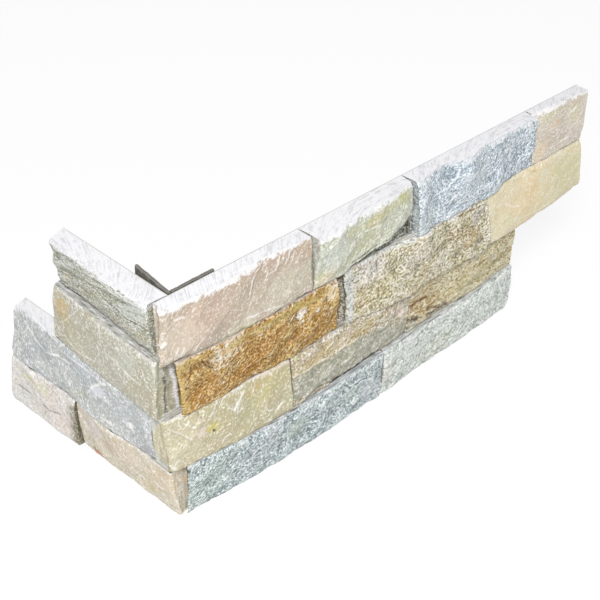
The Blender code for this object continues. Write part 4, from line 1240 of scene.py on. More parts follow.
@dataclass
class FineStone:
    """Lofts one stone on a fine grid and marks it.

    u, depth and z are places along the wing, in front of the back and above the lower bed.
    run_out is the run, counted on round the arris over the ends. scar_bed is the depth of the
    flake scar, and scar how far it covers the face. bed_steps are the outlines next to a bed,
    with even ones past bed_band, and standing the cells and the height over which a point is
    told from its surroundings.
    """

    stone: Stone
    cell: float = 0.0005
    end_cells: int = 30
    scar_bed: float = 0.0103
    hold_depth: float = 0.0008
    bed_steps: tuple[float, ...] = (0.0, 0.00025, 0.0006, 0.001)
    bed_band: float = 0.0015
    standing: tuple[tuple[int, float], ...] = ((8, 0.0007), (2, 0.00016))
    u: np.ndarray = field(init=False)
    depth: np.ndarray = field(init=False)
    z: np.ndarray = field(init=False)
    columns: int = field(init=False)
    run_out: np.ndarray = field(init=False)
    scar: np.ndarray = field(init=False)

    @property
    def last(self) -> int:
        """First column of the far end."""
        return self.end_cells + self.columns + 1

    @property
    def face(self) -> slice:
        """Columns of the grid that are the split face."""
        return slice(self.end_cells, self.last)

    def run(self) -> tuple[float, float]:
        """Find the stone's place along its wing.

        Returns:
            Its start and its far end.
        """
        stone = self.stone
        outer = [other.length * UNIT + PANEL.joint for other in SCHEDULE[SCHEDULE.index(stone) + 1:]
                 if other.wing is stone.wing and other.row == stone.row]
        far = PANEL.reach(stone.wing, stone.row) - sum(outer)
        if stone.length is not None:
            return far - stone.length * UNIT, far
        if (stone.row % 2 == 1) == (stone.wing is Wing.RIGHT):
            return -PANEL.stone_depth, far
        return PANEL.joint, far

    def heights(self) -> np.ndarray:
        """Space the plan outlines, closer together beside the beds.

        Returns:
            Their heights.
        """
        height, band = PANEL.row_height, self.bed_band
        inner = np.linspace(band, height - band, round((height - 2.0 * band) / self.cell))
        upper = [height - step for step in reversed(self.bed_steps)]
        return np.array([*self.bed_steps, *inner, *upper])

    def relief(self, u: float, z: float) -> float:
        """Split relief at a place on the face, as in the solids.

        Args:
            u: Distance along the wing.
            z: Height above the lower bed.

        Returns:
            How far the face stands out there.
        """
        split, seed, height = self.stone.split, self.stone.seed, PANEL.row_height
        tilt = math.radians(split.tilt)
        run = u * math.cos(tilt) + z * math.sin(tilt)
        rise = z * math.cos(tilt) - u * math.sin(tilt)
        hollows = noise.voronoi(Vector((run / split.scoop_run, rise / split.scoop_rise, seed)),
                                distance_metric="DISTANCE_SQUARED")
        scoop = min(hollows[0][0], 1.0) - 0.35
        ridge = wander(run / split.ridge_run, rise / split.ridge_pitch, seed + 7.0)
        lump = wander(u / PANEL.lump_pitch, z / PANEL.lump_pitch, seed + 13.0)
        stepped = 0.5 + 0.9 * wander(run / split.step_run, rise / split.step_pitch, seed + 23.0)
        edge = float(soft((stepped * 3.0 % 1.0) * 2.6 - 1.6))
        terrace = math.floor(stepped * 3.0) / 3.0 + edge / 3.0
        belly = 1.0 - (2.0 * z / height - 1.0) ** 4
        lift = split.scoop * scoop + split.ridge * (0.4 - abs(ridge)) + split.lump * lump
        lift += split.step * (terrace - 0.5)
        return UNIT * ((0.45 + 0.55 * belly) * lift + split.belly * belly)

    def chip(self, u: float, z: float) -> float:
        """How far the arris has crumbled back at a place near a bed.

        Args:
            u: Distance along the wing.
            z: Height above the lower bed.

        Returns:
            The depth that is gone.
        """
        height = PANEL.row_height
        bed = 0.0 if z < height / 2.0 else height
        gap = abs(z - bed)
        if gap > 3.0 * PANEL.arris_height:
            return 0.0
        seed = self.stone.seed
        bite = wander(u / PANEL.spall_pitch, bed / PANEL.spall_pitch, seed + 41.0)
        spall = PANEL.arris_chip + PANEL.arris_spall * max(bite, 0.0)
        nick = wander(u / PANEL.nick_pitch, bed / 0.004, seed + 57.0)
        reach = PANEL.arris_height * (1.0 + 1.3 * max(nick, 0.0))
        fall = max(1.0 - gap / reach, 0.0)
        return (spall + PANEL.nick_depth * max(nick - 0.05, 0.0)) * fall ** 0.8

    def outline(self) -> None:
        """Work out the plan outline at every height."""
        stone, height = self.stone, PANEL.row_height
        start, far = self.run()
        self.columns = round((far - start) / self.cell)
        places = np.linspace(0.0, 1.0, self.columns + 1)
        top = np.array([along(stone.top, p) for p in places])
        foot = np.array([along(stone.foot, p) for p in places])
        near_end, far_end = (stone.start_rough, stone.start_turn), (stone.far_rough, 2.0)
        rows_u, rows_depth, rows_run = [], [], []
        self.z = self.heights()
        for z in self.z:
            share = z / height
            left = start + UNIT * mix(stone.start_trim[1], stone.start_trim[0], share)
            right = far - UNIT * mix(stone.far_trim[1], stone.far_trim[0], share)
            face_left = left + UNIT * mix(stone.start_cut[1], stone.start_cut[0], share)
            face_right = right - UNIT * stone.far_cut
            face_u = face_left + (face_right - face_left) * places
            proud = PANEL.stone_depth + UNIT * (foot + (top - foot) * share)
            rough = np.array([self.relief(u, z) - self.chip(u, z) for u in face_u])
            rough -= (self.arris(face_u - face_u[0], stone.arris, z, 31.0)
                      + self.arris(face_u[-1] - face_u, 1.0, z, 37.0))
            depth = np.maximum(proud + rough, PANEL.thinnest)
            near = self.end(left, face_left, depth[0], z, 1.0, near_end, 61.0)
            away = self.end(right, face_right, depth[-1], z, -1.0, far_end, 83.0)
            rows_u.append(np.concatenate((near[0], face_u, away[0][::-1])))
            rows_depth.append(np.concatenate((near[1], depth, away[1][::-1])))
            rows_run.append(np.concatenate((face_left - (depth[0] - near[1]), face_u,
                                            face_right + (depth[-1] - away[1][::-1]))))
        self.u = np.array(rows_u)
        self.depth = np.array(rows_depth)
        self.run_out = np.array(rows_run)

    def arris(self, gap: np.ndarray, radius: float, z: float, key: float) -> np.ndarray:
        """How far the face falls away beside a broken end.

        Args:
            gap: Distance from the end along the face.
            radius: Radius of the turn, in thousandths of a metre.
            z: Height.
            key: Offset into the noise.

        Returns:
            The fall at each place.
        """
        chipped = 1.0 + 0.5 * wander(z / 0.0045, key, self.stone.seed)
        chipped += 0.35 * wander(z / 0.0015, key, self.stone.seed)
        reach = UNIT * radius * chipped
        left = np.clip(1.0 - gap / reach, 0.0, 1.0)
        return reach * 0.75 * (1.0 - np.sqrt(1.0 - left * left))

    def end(self, edge: float, face_u: float, depth: float, z: float, inward: float,
            shape: tuple[float, float], key: float) -> tuple[np.ndarray, np.ndarray]:
        """Points of one end at one height, from the back to just short of the face.

        Args:
            edge: Place of the end at the back.
            face_u: Place of the end at the face.
            depth: Depth of the face there.
            z: Height.
            inward: Direction into the stone along the wing.
            shape: Relief of the broken end, and how late it turns towards the face.
            key: Offset into the noise.

        Returns:
            Places along the wing, and depths.
        """
        part = np.arange(self.end_cells) / self.end_cells
        bite = np.array([0.5 + 0.5 * wander(p * 4.1, z / PANEL.break_pitch, self.stone.seed + key)
                         for p in part])
        window = soft(part * 3.0) * soft((1.0 - part) * 3.0)
        u = edge + (face_u - edge) * part ** shape[1] + inward * UNIT * shape[0] * bite * window
        return u, depth * part

    def break_flake(self) -> None:
        """Sink the flake scar into the lower far corner of the face."""
        u, depth = self.u[:, self.face], self.depth[:, self.face]
        ragged = np.array([0.0006 * wander(x / 0.0065, 3.7, 0.0)
                           + 0.0004 * wander(x / 0.002, 8.1, 0.0) for x in u[0]])
        runs, rises = zip(*self.stone.scar_edge)
        edge = UNIT * np.interp(u / UNIT, runs, rises) + ragged[None, :] * (u > UNIT * runs[0])
        lean = np.array([[wander(a / 0.014, b / 0.014, 9.1) for a in u[0]] for b in self.z])
        self.scar = soft((edge - self.z[:, None]) / 0.0006)
        sunk = np.minimum(depth, self.scar_bed - 0.0010 * lean)
        self.depth[:, self.face] = depth * (1.0 - self.scar) + sunk * self.scar

    def mark(self) -> tuple[np.ndarray, np.ndarray]:
        """Lay the patches and seams over the grid.

        Returns:
            Colour of stains and painted shadows with its strength, and the lift of each point.
        """
        stone = self.stone
        run = self.run_out / UNIT
        z = np.broadcast_to(self.z[:, None], run.shape) / UNIT
        stain, lift = np.zeros((*run.shape, 4)), np.zeros(run.shape)
        warp = np.array([[wander(a / 4.0, b / 4.0, stone.seed)
                          + 0.6 * wander(a / 1.3, b / 1.3, stone.seed) for a, b in zip(ur, zr)]
                         for ur, zr in zip(run, z)])
        if stone.lap_edge:
            places, heights = zip(*reversed(stone.lap_edge))
            edge = np.interp(self.z / UNIT, heights, places)
            cover = soft((edge[:, None] - run + 0.8 * warp) / 0.8 + 0.5)
            self._lay(stain, lift, cover, Seam((), 0.0, GREY_SLATE.body, 1.0, -0.3))
        for mark in stone.marks:
            self._lay(stain, lift, mark.cover(run, z, warp), mark)
        return stain, lift

    @staticmethod
    def _lay(stain: np.ndarray, lift: np.ndarray, cover: np.ndarray, mark: Patch | Seam) -> None:
        """Lay one colour over the stains and painted shadows so far and add its lift.

        Args:
            stain: Colour of the stains and painted shadows with its strength so far.
            lift: Lift so far.
            cover: How far the mark covers each point.
            mark: The mark, for its colour, strength and lift.
        """
        share = cover * mark.strength
        under = stain[..., 3] * (1.0 - share)
        whole = np.maximum(under + share, 1e-6)
        laid = stain[..., :3] * under[..., None] + np.array(linear(mark.colour)) * share[..., None]
        stain[..., :3] = laid / whole[..., None]
        stain[..., 3] = under + share
        lift += cover * mark.lift

    def mesh(self) -> bpy.types.Mesh:
        """Make the mesh with the attributes that the tree and the finish read.

        Returns:
            The mesh, with one point for each place of the grid.
        """
        self.outline()
        self.scar = np.zeros((len(self.z), self.columns + 1))
        if self.stone.scar_edge:
            self.break_flake()
        stain, lift = self.mark()
        face, ends, last = self.face, self.end_cells, self.last
        sunk = self.depth[:, face] + lift[:, face] * UNIT
        self.depth[:, face] = np.maximum(sunk, PANEL.thinnest)
        self.u[:, :ends] -= np.minimum(lift[:, :ends], 0.0) * UNIT
        heights = np.broadcast_to(self.z[:, None], self.u.shape)
        mesh = self._skin(heights)

        hold = np.ones(self.u.shape)
        hold[:, 0] = hold[:, -1] = 0.0
        hold[:, 1] = hold[:, -2] = 0.4
        inside = np.minimum(heights, PANEL.row_height - heights)
        hold *= soft(inside / self.hold_depth) * 0.7 + 0.3
        hold[0] = hold[-1] = hold[0] * 0.8
        outward = np.zeros((*self.u.shape, 3))
        along_axis, out_axis = (0, 1) if self.stone.wing is Wing.RIGHT else (1, 0)
        outward[:, :ends, along_axis] = -1.0
        outward[:, last:, along_axis] = 1.0
        outward[:, face, out_axis] = -1.0
        part = np.arange(ends) / ends
        inset = 0.7 * soft(np.minimum(part, 1.0 - part) * 5.0)
        sink, broken, scar = (np.zeros(self.u.shape) for _ in range(3))
        sink[:, :ends], sink[:, last:] = inset, inset[::-1]
        broken[:, :ends] = broken[:, last:] = 1.0
        scar[:, face] = self.scar
        for name, values in (("split_hold", hold), ("sink", sink), ("broken_end", broken),
                             ("scar", scar)):
            self._store(mesh, name, "FLOAT", "value", values)
        plan = np.stack((self.u, self.depth, heights), axis=-1)
        self._store(mesh, "plan", "FLOAT_VECTOR", "vector", plan)
        self._store(mesh, "outward", "FLOAT_VECTOR", "vector", outward)
        self._store(mesh, "stain", "FLOAT_COLOR", "color", stain)
        return mesh

    def _skin(self, heights: np.ndarray) -> bpy.types.Mesh:
        """Close the grid to a body and tell its sawn faces from the split ones.

        Args:
            heights: Height of each place of the grid.

        Returns:
            The mesh.
        """
        stone = self.stone
        levels, ring = self.u.shape
        points = stone.wing.world(self.u, self.depth, heights + stone.floor).reshape(-1, 3)
        index = np.arange(levels * ring).reshape(levels, ring)
        low, high = index[:-1], index[1:]
        quads = np.stack((low, np.roll(low, -1, axis=1), np.roll(high, -1, axis=1), high),
                         axis=-1).reshape(-1, 4)
        foot, top = index[0][::-1], index[-1]
        if stone.wing is Wing.LEFT:
            quads, foot, top = quads[:, ::-1], foot[::-1], top[::-1]
        faces = [*quads.tolist(), foot.tolist(), top.tolist()]
        mesh = bpy.data.meshes.new(stone.name)
        mesh.from_pydata(points.tolist(), [], faces)
        sawn = np.zeros(len(faces))
        sawn[-2:] = 1.0
        sawn[ring - 1:-2:ring] = 1.0
        mesh.attributes.new("sawn", "FLOAT", "FACE").data.foreach_set("value", sawn)
        return mesh

    @staticmethod
    def _store(mesh: bpy.types.Mesh, name: str, kind: str, key: str, values: np.ndarray) -> None:
        """Store one value for each point of the mesh."""
        attribute = mesh.attributes.new(name, kind, "POINT")
        attribute.data.foreach_set(key, np.ascontiguousarray(values, dtype=np.float32).ravel())

    def sound_hollows(self, obj: bpy.types.Object) -> None:
        """Store how far each point stands above or below its surroundings.

        Args:
            obj: The worked piece, whose points are still in the order of the grid.
        """
        levels, ring = self.u.shape
        points = np.empty(len(obj.data.vertices) * 3, dtype=np.float32)
        obj.data.vertices.foreach_get("co", points)
        points = points.reshape(levels, ring, 3).astype(float)
        out_axis, run_axis = (1, 0) if self.stone.wing is Wing.RIGHT else (0, 1)
        standing = np.zeros((levels, ring))
        for part, axis, sign in ((slice(0, self.end_cells), run_axis, -1.0),
                                 (self.face, out_axis, -1.0),
                                 (slice(self.last, ring), run_axis, 1.0)):
            height = sign * points[:, part, axis]
            shares = [np.clip((height - self._blur(height, reach)) / full, -1.0, 1.0)
                      for reach, full in self.standing]
            cells = np.arange(height.shape[1])
            fade = np.clip(np.minimum(cells, cells[::-1]) / 5.0, 0.0, 1.0)
            standing[:, part] = sum(shares) / len(shares) * fade
        self._store(obj.data, "standing", "FLOAT", "value", standing)

    @staticmethod
    def _blur(values: np.ndarray, reach: int) -> np.ndarray:
        """Box blur over a square of cells, twice.

        Args:
            values: What is blurred.
            reach: Cells on each side.

        Returns:
            The blurred values.
        """
        count = 2 * reach + 1
        for axis in (0, 1, 0, 1):
            padded = np.concatenate((values.take([0] * reach, axis), values,
                                     values.take([-1] * reach, axis)), axis)
            total = np.cumsum(padded, axis)
            total = np.concatenate((np.zeros_like(total.take([0], axis)), total), axis)
            size = values.shape[axis]
            values = (total.take(range(count, count + size), axis)
                      - total.take(range(size), axis)) / count
        return values


class StoneMaterial:
    """Procedural finish of one stone."""

    def __init__(self, stone: Stone) -> None:
        """Build the material.

        Args:
            stone: The stone that it is for.
        """
        self.stone = stone
        self.finish = stone.finish
        self.tilt = math.radians(stone.split.tilt)
        self.material = bpy.data.materials.new(stone.name + "_finish")
        self.material.use_nodes = True
        self.g = Graph(self.material.node_tree)
        self.plan = self.g.add("ShaderNodeAttribute", attribute_name="plan").out("Vector")
        self.drawn = self.g.stretched(self.plan, (0.8, 0.8, 1.4), (0.0, self.tilt, 0.0),
                                      (stone.seed, 0.0, 0.0))
        self.mid = self.g.cloud(self.drawn, 190.0, 3.0, 0.6)
        self.speck = self.g.cloud(self.drawn, self.finish.grain, 2.0, 0.42)
        self._wire()

    def _wire(self) -> None:
        """Wire the finish."""
        g, finish, mid, speck = self.g, self.finish, self.mid, self.speck
        sawn = self._number("sawn")
        broad = g.cloud(self.drawn, 42.0, 3.0, 0.55, 0.4)
        clouded = broad.between(0.62 - 0.3 * finish.cloud_share, 0.74 - 0.3 * finish.cloud_share)
        colour = g.blend(clouded, finish.body, finish.cloud)
        broken = g.blend(mid.between(0.46, 0.62) * 0.6, finish.broken, finish.dust)
        colour = g.blend(self._number("broken_end") * self.stone.end_tone, colour, broken)
        if self.stone.scar_edge:
            colour = self._scar(colour)
        # The stain layer holds stains and painted shadows from the marks.
        stain = g.add("ShaderNodeAttribute", attribute_name="stain")
        cover = (stain.out("Alpha") * (speck.between(0.30, 0.52) * 0.22 + 0.78)).held()
        colour = g.blend(cover, colour, stain.out("Color"))
        clear = 1.0 - cover * 0.45
        hues = g.add("ShaderNodeTexNoise",
                     {"Vector": self.drawn, "Scale": 330.0, "Detail": 1.0}).out("Color")
        colour = g.add("ShaderNodeMix", {0: finish.hues, 6: colour, 7: hues}, data_type="RGBA",
                       blend_type="SOFT_LIGHT").out(2)
        colour = self._grains(colour, clear)
        colour = self._scratches(colour, clear)
        colour = self._crushed_edge(colour)
        hatch = self._hatch()
        colour = g.blend(sawn, colour, self._saw(hatch))

        rough = g.math("ADD", (speck - 0.5) * 0.35 + finish.roughness, sawn * 0.15, use_clamp=True)
        height = (speck + mid * 0.6) * (1.0 - sawn * 0.85) + hatch * sawn * 0.3
        bump = g.add("ShaderNodeBump", {"Strength": 0.8 - 0.62 * finish.sparse,
                                        "Distance": 0.0012, "Height": height}).out(0)
        shader = g.add("ShaderNodeBsdfPrincipled", {"Base Color": colour, "Roughness": rough,
                                                    "Normal": bump, "Metallic": 0.0, "IOR": 1.45})
        g.add("ShaderNodeOutputMaterial", {"Surface": shader.out(0)})

    def _scar(self, colour: Wire) -> Wire:
        """Grey-green bed that the flake left, with dark lines, darkened with painted shade.

        Args:
            colour: Colour so far.

        Returns:
            The colour with the scar.
        """
        g = self.g
        lines = g.stretched(self.plan, (150.0, 150.0, 900.0), (0.0, math.radians(14.0), 0.0))
        dark = g.cloud(lines, 1.0, 2.0, 0.5, 0.3).between(0.44, 0.54)
        # The scar colours carry painted shade from the overhanging face.
        return g.blend(self._number("scar") * 0.95, colour, g.blend(dark, SHADED_SCAR_BED, SHADED_SCAR_LINE))

    def _grains(self, colour: Wire, clear: Wire) -> Wire:
        """Dark and light grains, with painted shade in hollows and painted highlight on ridges.

        Args:
            colour: Colour so far.
            clear: How free a place is of stains and painted shadows.

        Returns:
            The colour with its grains.
        """
        g, finish, mid = self.g, self.finish, self.mid
        standing = self._number("standing")
        level = self.speck + (mid - 0.5) * 0.16 + standing * 0.035
        few = 0.045 * finish.sparse
        mottled = finish.dust_share * (0.3 - 0.2 * finish.sparse)
        # Painted shade: the dark mottle leans a little into the hollows.
        low = (mid - 0.5 + standing * -0.06).between(0.03, 0.16) * mottled * clear
        dark = (1.0 - level.between(0.40 - few, 0.435 - few)) * finish.dust_share * clear
        light = level.between(0.55 + few, 0.58 + few) * finish.fleck_share * clear
        # Painted shade in hollows and painted highlight on ridges, from how far points stand out.
        hollow = (standing * -1.0).between(0.2, 1.0) * (finish.depth_tone * 0.5)
        ridge = standing.between(0.35, 1.0) * (finish.depth_tone * 0.55) * clear
        for share, tone in ((low, finish.dust), (dark, finish.dust), (light, finish.fleck),
                            (hollow, finish.dust), (ridge, finish.fleck)):
            colour = g.blend(share, colour, tone)
        return colour

    def _scratches(self, colour: Wire, clear: Wire) -> Wire:
        """Thin chalk lines where shells meet, short strokes across the split, and pale dots.

        Args:
            colour: Colour so far.
            clear: How free a place is of stains and painted shadows.

        Returns:
            The colour with its scratches.
        """
        g, finish, mid, seed = self.g, self.finish, self.mid, self.stone.seed
        warped = g.warped(self.plan, 130.0, 0.006, (seed, 0.0, 0.3))
        line = 1.0 - g.cells(warped, 58.0, "DISTANCE_TO_EDGE").between(0.012, 0.040)
        line = line * g.cloud(warped, 75.0, 1.0).between(0.54, 0.62)
        colour = g.blend(line * finish.line_share * clear, colour, CHALK)
        across = g.stretched(self.plan, (1.0, 1.0, 5.5), (0.0, self.tilt + math.radians(22.0), 0.0),
                             (0.0, 0.0, seed))
        stroke = g.cloud(across, 210.0).between(0.62, 0.665) * mid.between(0.44, 0.56)
        colour = g.blend(stroke * (0.35 + 0.5 * finish.fleck_share) * clear, colour, CHALK)
        dot = (1.0 - g.cells(warped, 210.0).between(0.10, 0.16)) * (1.0 - mid.between(0.42, 0.50))
        return g.blend(dot * finish.dot_share * clear, colour, CHALK)

    def _crushed_edge(self, colour: Wire) -> Wire:
        """White where the saw and the split have crushed the upper arris.

        Args:
            colour: Colour so far.

        Returns:
            The colour with its white edge.
        """
        g, finish = self.g, self.finish
        depth = PANEL.row_height - g.add("ShaderNodeSeparateXYZ", {0: self.plan}).out("Z")
        spread, least = (0.0030, 0.0010) if self.stone.row == 1 else (0.0018, 0.0004)
        spread, least = spread * finish.crushed_reach, least * finish.crushed_reach
        reach = (g.cloud(self.plan, 95.0) - 0.40) * (spread * 3.0)
        reach = reach + (self.mid - 0.5) * (spread * 1.6) + least + (self.speck - 0.5) * 0.0030
        share = 1.0 - (depth - reach).between(-0.0010, 0.0012)
        share = share * (1.0 - self._number("broken_end") * 0.5)
        return g.blend(share * finish.crushed, colour, SAW_WHITE)

    def _saw(self, hatch: Wire) -> Wire:
        """Sawn bed: white with faint hatching where it lies open, greyer as a ledge.

        Args:
            hatch: Noise drawn out across the saw's path.

        Returns:
            The colour of the sawn faces.
        """
        g, mid = self.g, self.mid
        worn = hatch.between(0.49, 0.60) * (mid.between(0.36, 0.62) * 0.6 + 0.3)
        white = g.blend(worn, SAW_WHITE, SAW_GREY)
        flecks = self.speck.between(0.56, 0.62) * mid.between(0.46, 0.56)
        white = g.blend(flecks * 0.25, white, SAW_FLECK)
        ledge = g.blend(mid.between(0.44, 0.58) * 0.6, g.blend(0.5, LEDGE_GREY, self.finish.body),
                        LEDGE_SHADE)
        line = g.cloud(g.stretched(self.plan, (110.0, 1100.0, 110.0)), 1.0, 2.0, 0.5, 0.2)
        ledge = g.blend(line.between(0.56, 0.61) * 0.8, ledge, LEDGE_LIGHT)
        ledge = g.blend((1.0 - line.between(0.37, 0.42)) * 0.8, ledge, LEDGE_LINE)
        parts = g.add("ShaderNodeSeparateXYZ", {0: self.plan})
        start = self.stone.bare_from
        if start is not None:
            ledge = g.blend(parts.out("X").between(start - 0.0006, start + 0.0006), ledge, white)
        grooves = g.cloud(g.stretched(self.plan, (26.0, 26.0, 760.0)), 1.0, 3.0, 0.6, 0.2)
        back = g.blend(grooves.between(0.42, 0.62) * 0.5,
                       g.blend(0.55, LEDGE_GREY, self.finish.body), GROOVE_PALE)
        return g.blend(parts.out("Y").between(0.0002, 0.0009), back, ledge)

    def _hatch(self) -> Wire:
        """Draw noise out along the arcs that a round saw leaves.

        Returns:
            The noise.
        """
        g, centre = self.g, self.stone.saw_centre
        parts = g.add("ShaderNodeSeparateXYZ", {0: g.add("ShaderNodeTexCoord").out("Object")})
        x, y = parts.out("X") - centre[0], parts.out("Y") - centre[1]
        far, turn = g.math("SQRT", x * x + y * y), g.math("ARCTAN2", y, x)
        arcs = g.add("ShaderNodeCombineXYZ", {0: far * 1000.0, 1: turn * 11.0,
                                              2: parts.out("Z") * 90.0}).out(0)
        return g.cloud(arcs, 1.0, 2.0, 0.6, 0.3)

    def _number(self, name: str) -> Wire:
        """A number stored on the mesh."""
        return self.g.add("ShaderNodeAttribute", attribute_name=name).out("Fac")


@dataclass
class StoneRows:
    """All the split stones of the corner."""

    grain: GrainTree

    def build(self) -> Iterable[bpy.types.Object]:
        """Build and seat each stone.

        Yields:
            Each finished piece.
        """
        for stone in SCHEDULE:
            fine = FineStone(stone)
            obj = stand(stone.name + "_split", fine.mesh())
            self.grain.work(obj, stone.split, stone.seed, StoneMaterial(stone).material)
            fine.sound_hollows(obj)
            self.smooth_faces(obj.data)
            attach(obj, BODY)
            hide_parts(stone.name)
            yield obj

    @staticmethod
    def smooth_faces(mesh: bpy.types.Mesh) -> None:
        """Shade the split grid smoothly and keep the sawn faces flat.

        Args:
            mesh: The stone's mesh.
        """
        sawn = np.empty(len(mesh.polygons), dtype=np.float32)
        mesh.attributes["sawn"].data.foreach_get("value", sawn)
        mesh.polygons.foreach_set("use_smooth", sawn < 0.5)
        mesh.set_sharp_from_angle(angle=math.radians(50.0))


class SlipMaterial:
    """Dark slate of the backing slips, paler where it faces up: broken top and painted top light.
    """

    def __init__(self) -> None:
        """Build the material."""
        self.material = bpy.data.materials.new("backing_slate")
        self.material.use_nodes = True
        g = Graph(self.material.node_tree)
        place = g.add("ShaderNodeTexCoord").out("Object")
        broad = g.cloud(place, 160.0, 4.0, 0.65)
        fine = g.cloud(place, 900.0, 3.0, 0.7)
        normal = g.add("ShaderNodeNewGeometry").out("True Normal")
        upward = g.add("ShaderNodeSeparateXYZ", {0: normal}).out("Z")
        colour = g.blend(broad.between(0.4, 0.62), SLIP_DARK, SLIP_GREY)
        colour = g.blend(fine.between(0.55, 0.7) * 0.6, colour, SLIP_FLECK)
        # Upward faces are paler: broken top and painted top light.
        colour = g.blend(upward.between(0.4, 0.8) * 0.6, colour, SLIP_BROKEN_AND_LIT)
        bump = g.add("ShaderNodeBump", {"Strength": 0.6, "Distance": 0.0005,
                                        "Height": broad + fine}).out(0)
        shader = g.add("ShaderNodeBsdfPrincipled", {"Base Color": colour, "Normal": bump,
                                                    "Roughness": (fine - 0.5) * 0.3 + 0.6})
        g.add("ShaderNodeOutputMaterial", {"Surface": shader.out(0)})


@dataclass(frozen=True)
class BackingSlip:
    """A thin slate plate glued on the back of one wing.

    outer_rise and corner_rise are how far it stands above the top row at its two ends, ragged
    how rough its top is, eased the softened edge, and wave the relief of its sides.
    """

    name: str
    wing: Wing
    start: float
    length: float
    outer_rise: float
    corner_rise: float = 0.0005
    thickness: float = 0.0023
    foot: float = 0.003
    ragged: float = 0.0004
    eased: float = 0.00035
    wave: float = 0.0001
    columns: int = 60
    levels: int = 150
    layers: int = 3

    def build(self, finish: bpy.types.Material) -> bpy.types.Object:
        """Build and seat the slip.

        Args:
            finish: Its slate.

        Returns:
            The finished piece.
        """
        mesh = bpy.data.meshes.new(self.name)
        mesh.from_pydata(*self._skin())
        self._close(mesh)
        obj = stand(self.name + "_slate", mesh)
        mesh.materials.append(finish)
        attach(obj, BODY)
        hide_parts(self.name)
        return obj

    def _top(self, u: np.ndarray) -> np.ndarray:
        """Work out the broken top.

        Args:
            u: Places along the slip.

        Returns:
            Its height there.
        """
        share = (u - self.start) / (self.length - self.start)
        top = PANEL.height + self.corner_rise + (self.outer_rise - self.corner_rise) * share
        return top + np.array([self.ragged * wander(x / 0.0065, 5.3, self.length)
                               + 0.0003 * wander(x / 0.0016, 2.9, self.length) for x in u])

    def _skin(self) -> tuple[list, list, list]:
        """Lay sheets of points through the thickness and close them round the rim.

        Returns:
            The points, no edges, and the faces.
        """
        u = np.linspace(self.start, self.length, self.columns + 1)
        top = self._top(u)
        points, sheets = [], []
        for layer in range(self.layers + 1):
            inset = self.eased if layer in (0, self.layers) else 0.0
            rise = np.linspace(0.0, 1.0, self.levels + 1)[:, None]
            z = (self.foot + inset) + (top - inset - self.foot - inset)[None, :] * rise
            along_wing = np.clip(np.broadcast_to(u[None, :], z.shape), self.start + inset,
                                 self.length - inset)
            wave = np.array([[wander(a / 0.012, b / 0.009, self.length * 90.0) for a in u]
                             for b in z[:, 0]])
            depth = -(PANEL.joint + self.thickness * layer / self.layers
                      + self.wave * wave * (1.0 if layer == self.layers else 0.4))
            sheets.append(np.arange(z.size).reshape(z.shape) + layer * z.size)
            points.extend(self.wing.world(along_wing, depth, z).reshape(-1, 3).tolist())
        faces = self._quads(sheets[0])
        faces.extend(q[::-1] for q in self._quads(sheets[-1]))
        for lower, upper in zip(sheets, sheets[1:]):
            low, high = self._rim(lower), self._rim(upper)
            for index, before in enumerate(low):
                after = (index + 1) % len(low)
                faces.append([low[after], before, high[index], high[after]])
        return points, [], faces

    @staticmethod
    def _quads(sheet: np.ndarray) -> list[list[int]]:
        """Quads of one sheet of points."""
        return np.stack((sheet[:-1, :-1], sheet[:-1, 1:], sheet[1:, 1:], sheet[1:, :-1]),
                        axis=-1).reshape(-1, 4).tolist()

    @staticmethod
    def _rim(sheet: np.ndarray) -> list[int]:
        """Points round the edge of a sheet, in order."""
        return [*sheet[0, :], *sheet[1:, -1], *sheet[-1, -2::-1], *sheet[-2:0:-1, 0]]

    @staticmethod
    def _close(mesh: bpy.types.Mesh) -> None:
        """Drop loose inner points, turn every face outwards and shade the slate.

        Args:
            mesh: The slip's mesh.
        """
        form = bmesh.new()
        form.from_mesh(mesh)
        bmesh.ops.delete(form, geom=[v for v in form.verts if not v.link_faces], context="VERTS")
        bmesh.ops.recalc_face_normals(form, faces=form.faces)
        form.to_mesh(mesh)
        form.free()
        mesh.shade_smooth()
        mesh.set_sharp_from_angle(angle=math.radians(35.0))


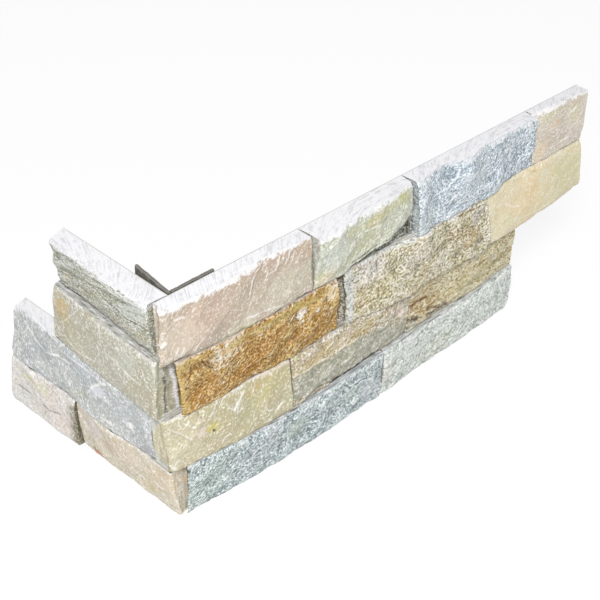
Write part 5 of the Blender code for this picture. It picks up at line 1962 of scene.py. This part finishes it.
@dataclass(frozen=True)
class Studio:
    """Pale floor, soft light and the camera.

    glow is how bright the floor shows to the camera and glow_share how much of it is glow. sky
    is the light of the world, and open_sky what the camera sees on top of it.
    """

    turn: float = math.radians(-44.81)
    rise: float = math.radians(35.37)
    roll: float = math.radians(0.88)
    eye: tuple[float, float, float] = (-0.42737, -0.53277, 0.63021)
    lens: float = 91.13
    key_place: tuple[float, float, float] = (-0.78, -0.87, 1.48)
    key_aim: tuple[float, float, float] = (0.12, 0.03, 0.07)
    key_size: float = 0.5
    key_power: float = 31.0
    floor_half: float = 6.0
    floor_shade: float = 0.84
    glow: float = 1.06
    glow_share: float = 0.8
    sky: float = 0.38
    open_sky: float = 0.62

    def build(self) -> None:
        """Build the floor, the light and the camera."""
        self.floor()
        self.lights()
        self.camera()

    def camera(self) -> None:
        """Stand the camera where the photograph was taken from."""
        back = Vector((math.sin(self.turn) * math.cos(self.rise),
                       -math.cos(self.turn) * math.cos(self.rise), math.sin(self.rise)))
        level = Vector((math.cos(self.turn), math.sin(self.turn), 0.0))
        up = back.cross(level)
        right = math.cos(self.roll) * level + math.sin(self.roll) * up
        head = math.cos(self.roll) * up - math.sin(self.roll) * level
        data = bpy.data.cameras.new("camera")
        data.sensor_width = 36.0
        data.lens = self.lens
        data.clip_start = 0.01
        camera = stand("camera", data)
        eye = Vector(self.eye) + Vector((PANEL.setback, PANEL.setback, 0.0))
        camera.matrix_world = Matrix(((right.x, head.x, back.x, eye.x),
                                      (right.y, head.y, back.y, eye.y),
                                      (right.z, head.z, back.z, eye.z), (0.0, 0.0, 0.0, 1.0)))
        bpy.context.scene.camera = camera

    def floor(self) -> None:
        """Lay the pale floor, which shows white and keeps a soft shadow."""
        mesh = bpy.data.meshes.new("floor")
        half = self.floor_half
        corners = [(-half, -half, 0.0), (half, -half, 0.0), (half, half, 0.0), (-half, half, 0.0)]
        mesh.from_pydata(corners, [], [(0, 1, 2, 3)])
        material = bpy.data.materials.new("pale_floor")
        material.use_nodes = True
        g = Graph(material.node_tree)
        shade = (self.floor_shade, self.floor_shade, self.floor_shade, 1.0)
        ground = g.add("ShaderNodeBsdfDiffuse", {"Color": shade})
        glow = g.add("ShaderNodeEmission", {"Color": (1.0, 1.0, 1.0, 1.0), "Strength": self.glow})
        seen = g.add("ShaderNodeLightPath").out("Is Camera Ray")
        both = g.add("ShaderNodeMixShader", {0: seen * self.glow_share, 1: ground.out(0),
                                             2: glow.out(0)})
        g.add("ShaderNodeOutputMaterial", {"Surface": both.out(0)})
        mesh.materials.append(material)
        stand("floor", mesh)

    def lights(self) -> None:
        """Hang the soft light and set the sky."""
        world = bpy.data.worlds.new("studio")
        bpy.context.scene.world = world
        world.use_nodes = True
        g = Graph(world.node_tree)
        path = g.add("ShaderNodeLightPath")
        seen = g.math("MAXIMUM", path.out("Is Camera Ray"), path.out("Is Transmission Ray"))
        light = seen * self.open_sky + self.sky
        sky = g.add("ShaderNodeBackground", {"Color": (1.0, 1.0, 1.0, 1.0), "Strength": light})
        g.add("ShaderNodeOutputWorld", {"Surface": sky.out(0)})
        lamp = bpy.data.lights.new("key", "AREA")
        lamp.shape = "SQUARE"
        lamp.size = self.key_size
        lamp.energy = self.key_power
        key = stand("key", lamp)
        key.location = self.key_place
        aim = Vector(self.key_aim) - Vector(self.key_place)
        key.rotation_euler = aim.to_track_quat("-Z", "Y").to_euler()


def main() -> None:
    """Dress the corner piece and set the studio round it."""
    bpy.context.scene.view_settings.view_transform = "Standard"
    for piece in StoneRows(GrainTree()).build():
        LOG.info("%s: %d faces", piece.name, len(piece.data.polygons))
    slate = SlipMaterial().material
    slips = (BackingSlip("left_backing_slip", Wing.LEFT, start=PANEL.joint, length=0.0292,
                         outer_rise=0.0053),
             BackingSlip("right_backing_slip", Wing.RIGHT, start=0.0029, length=0.0345,
                         outer_rise=0.0009))
    for slip in slips:
        piece = slip.build(slate)
        LOG.info("%s: %d faces", piece.name, len(piece.data.polygons))
    Studio().build()


if __name__ == "__main__":
    main()
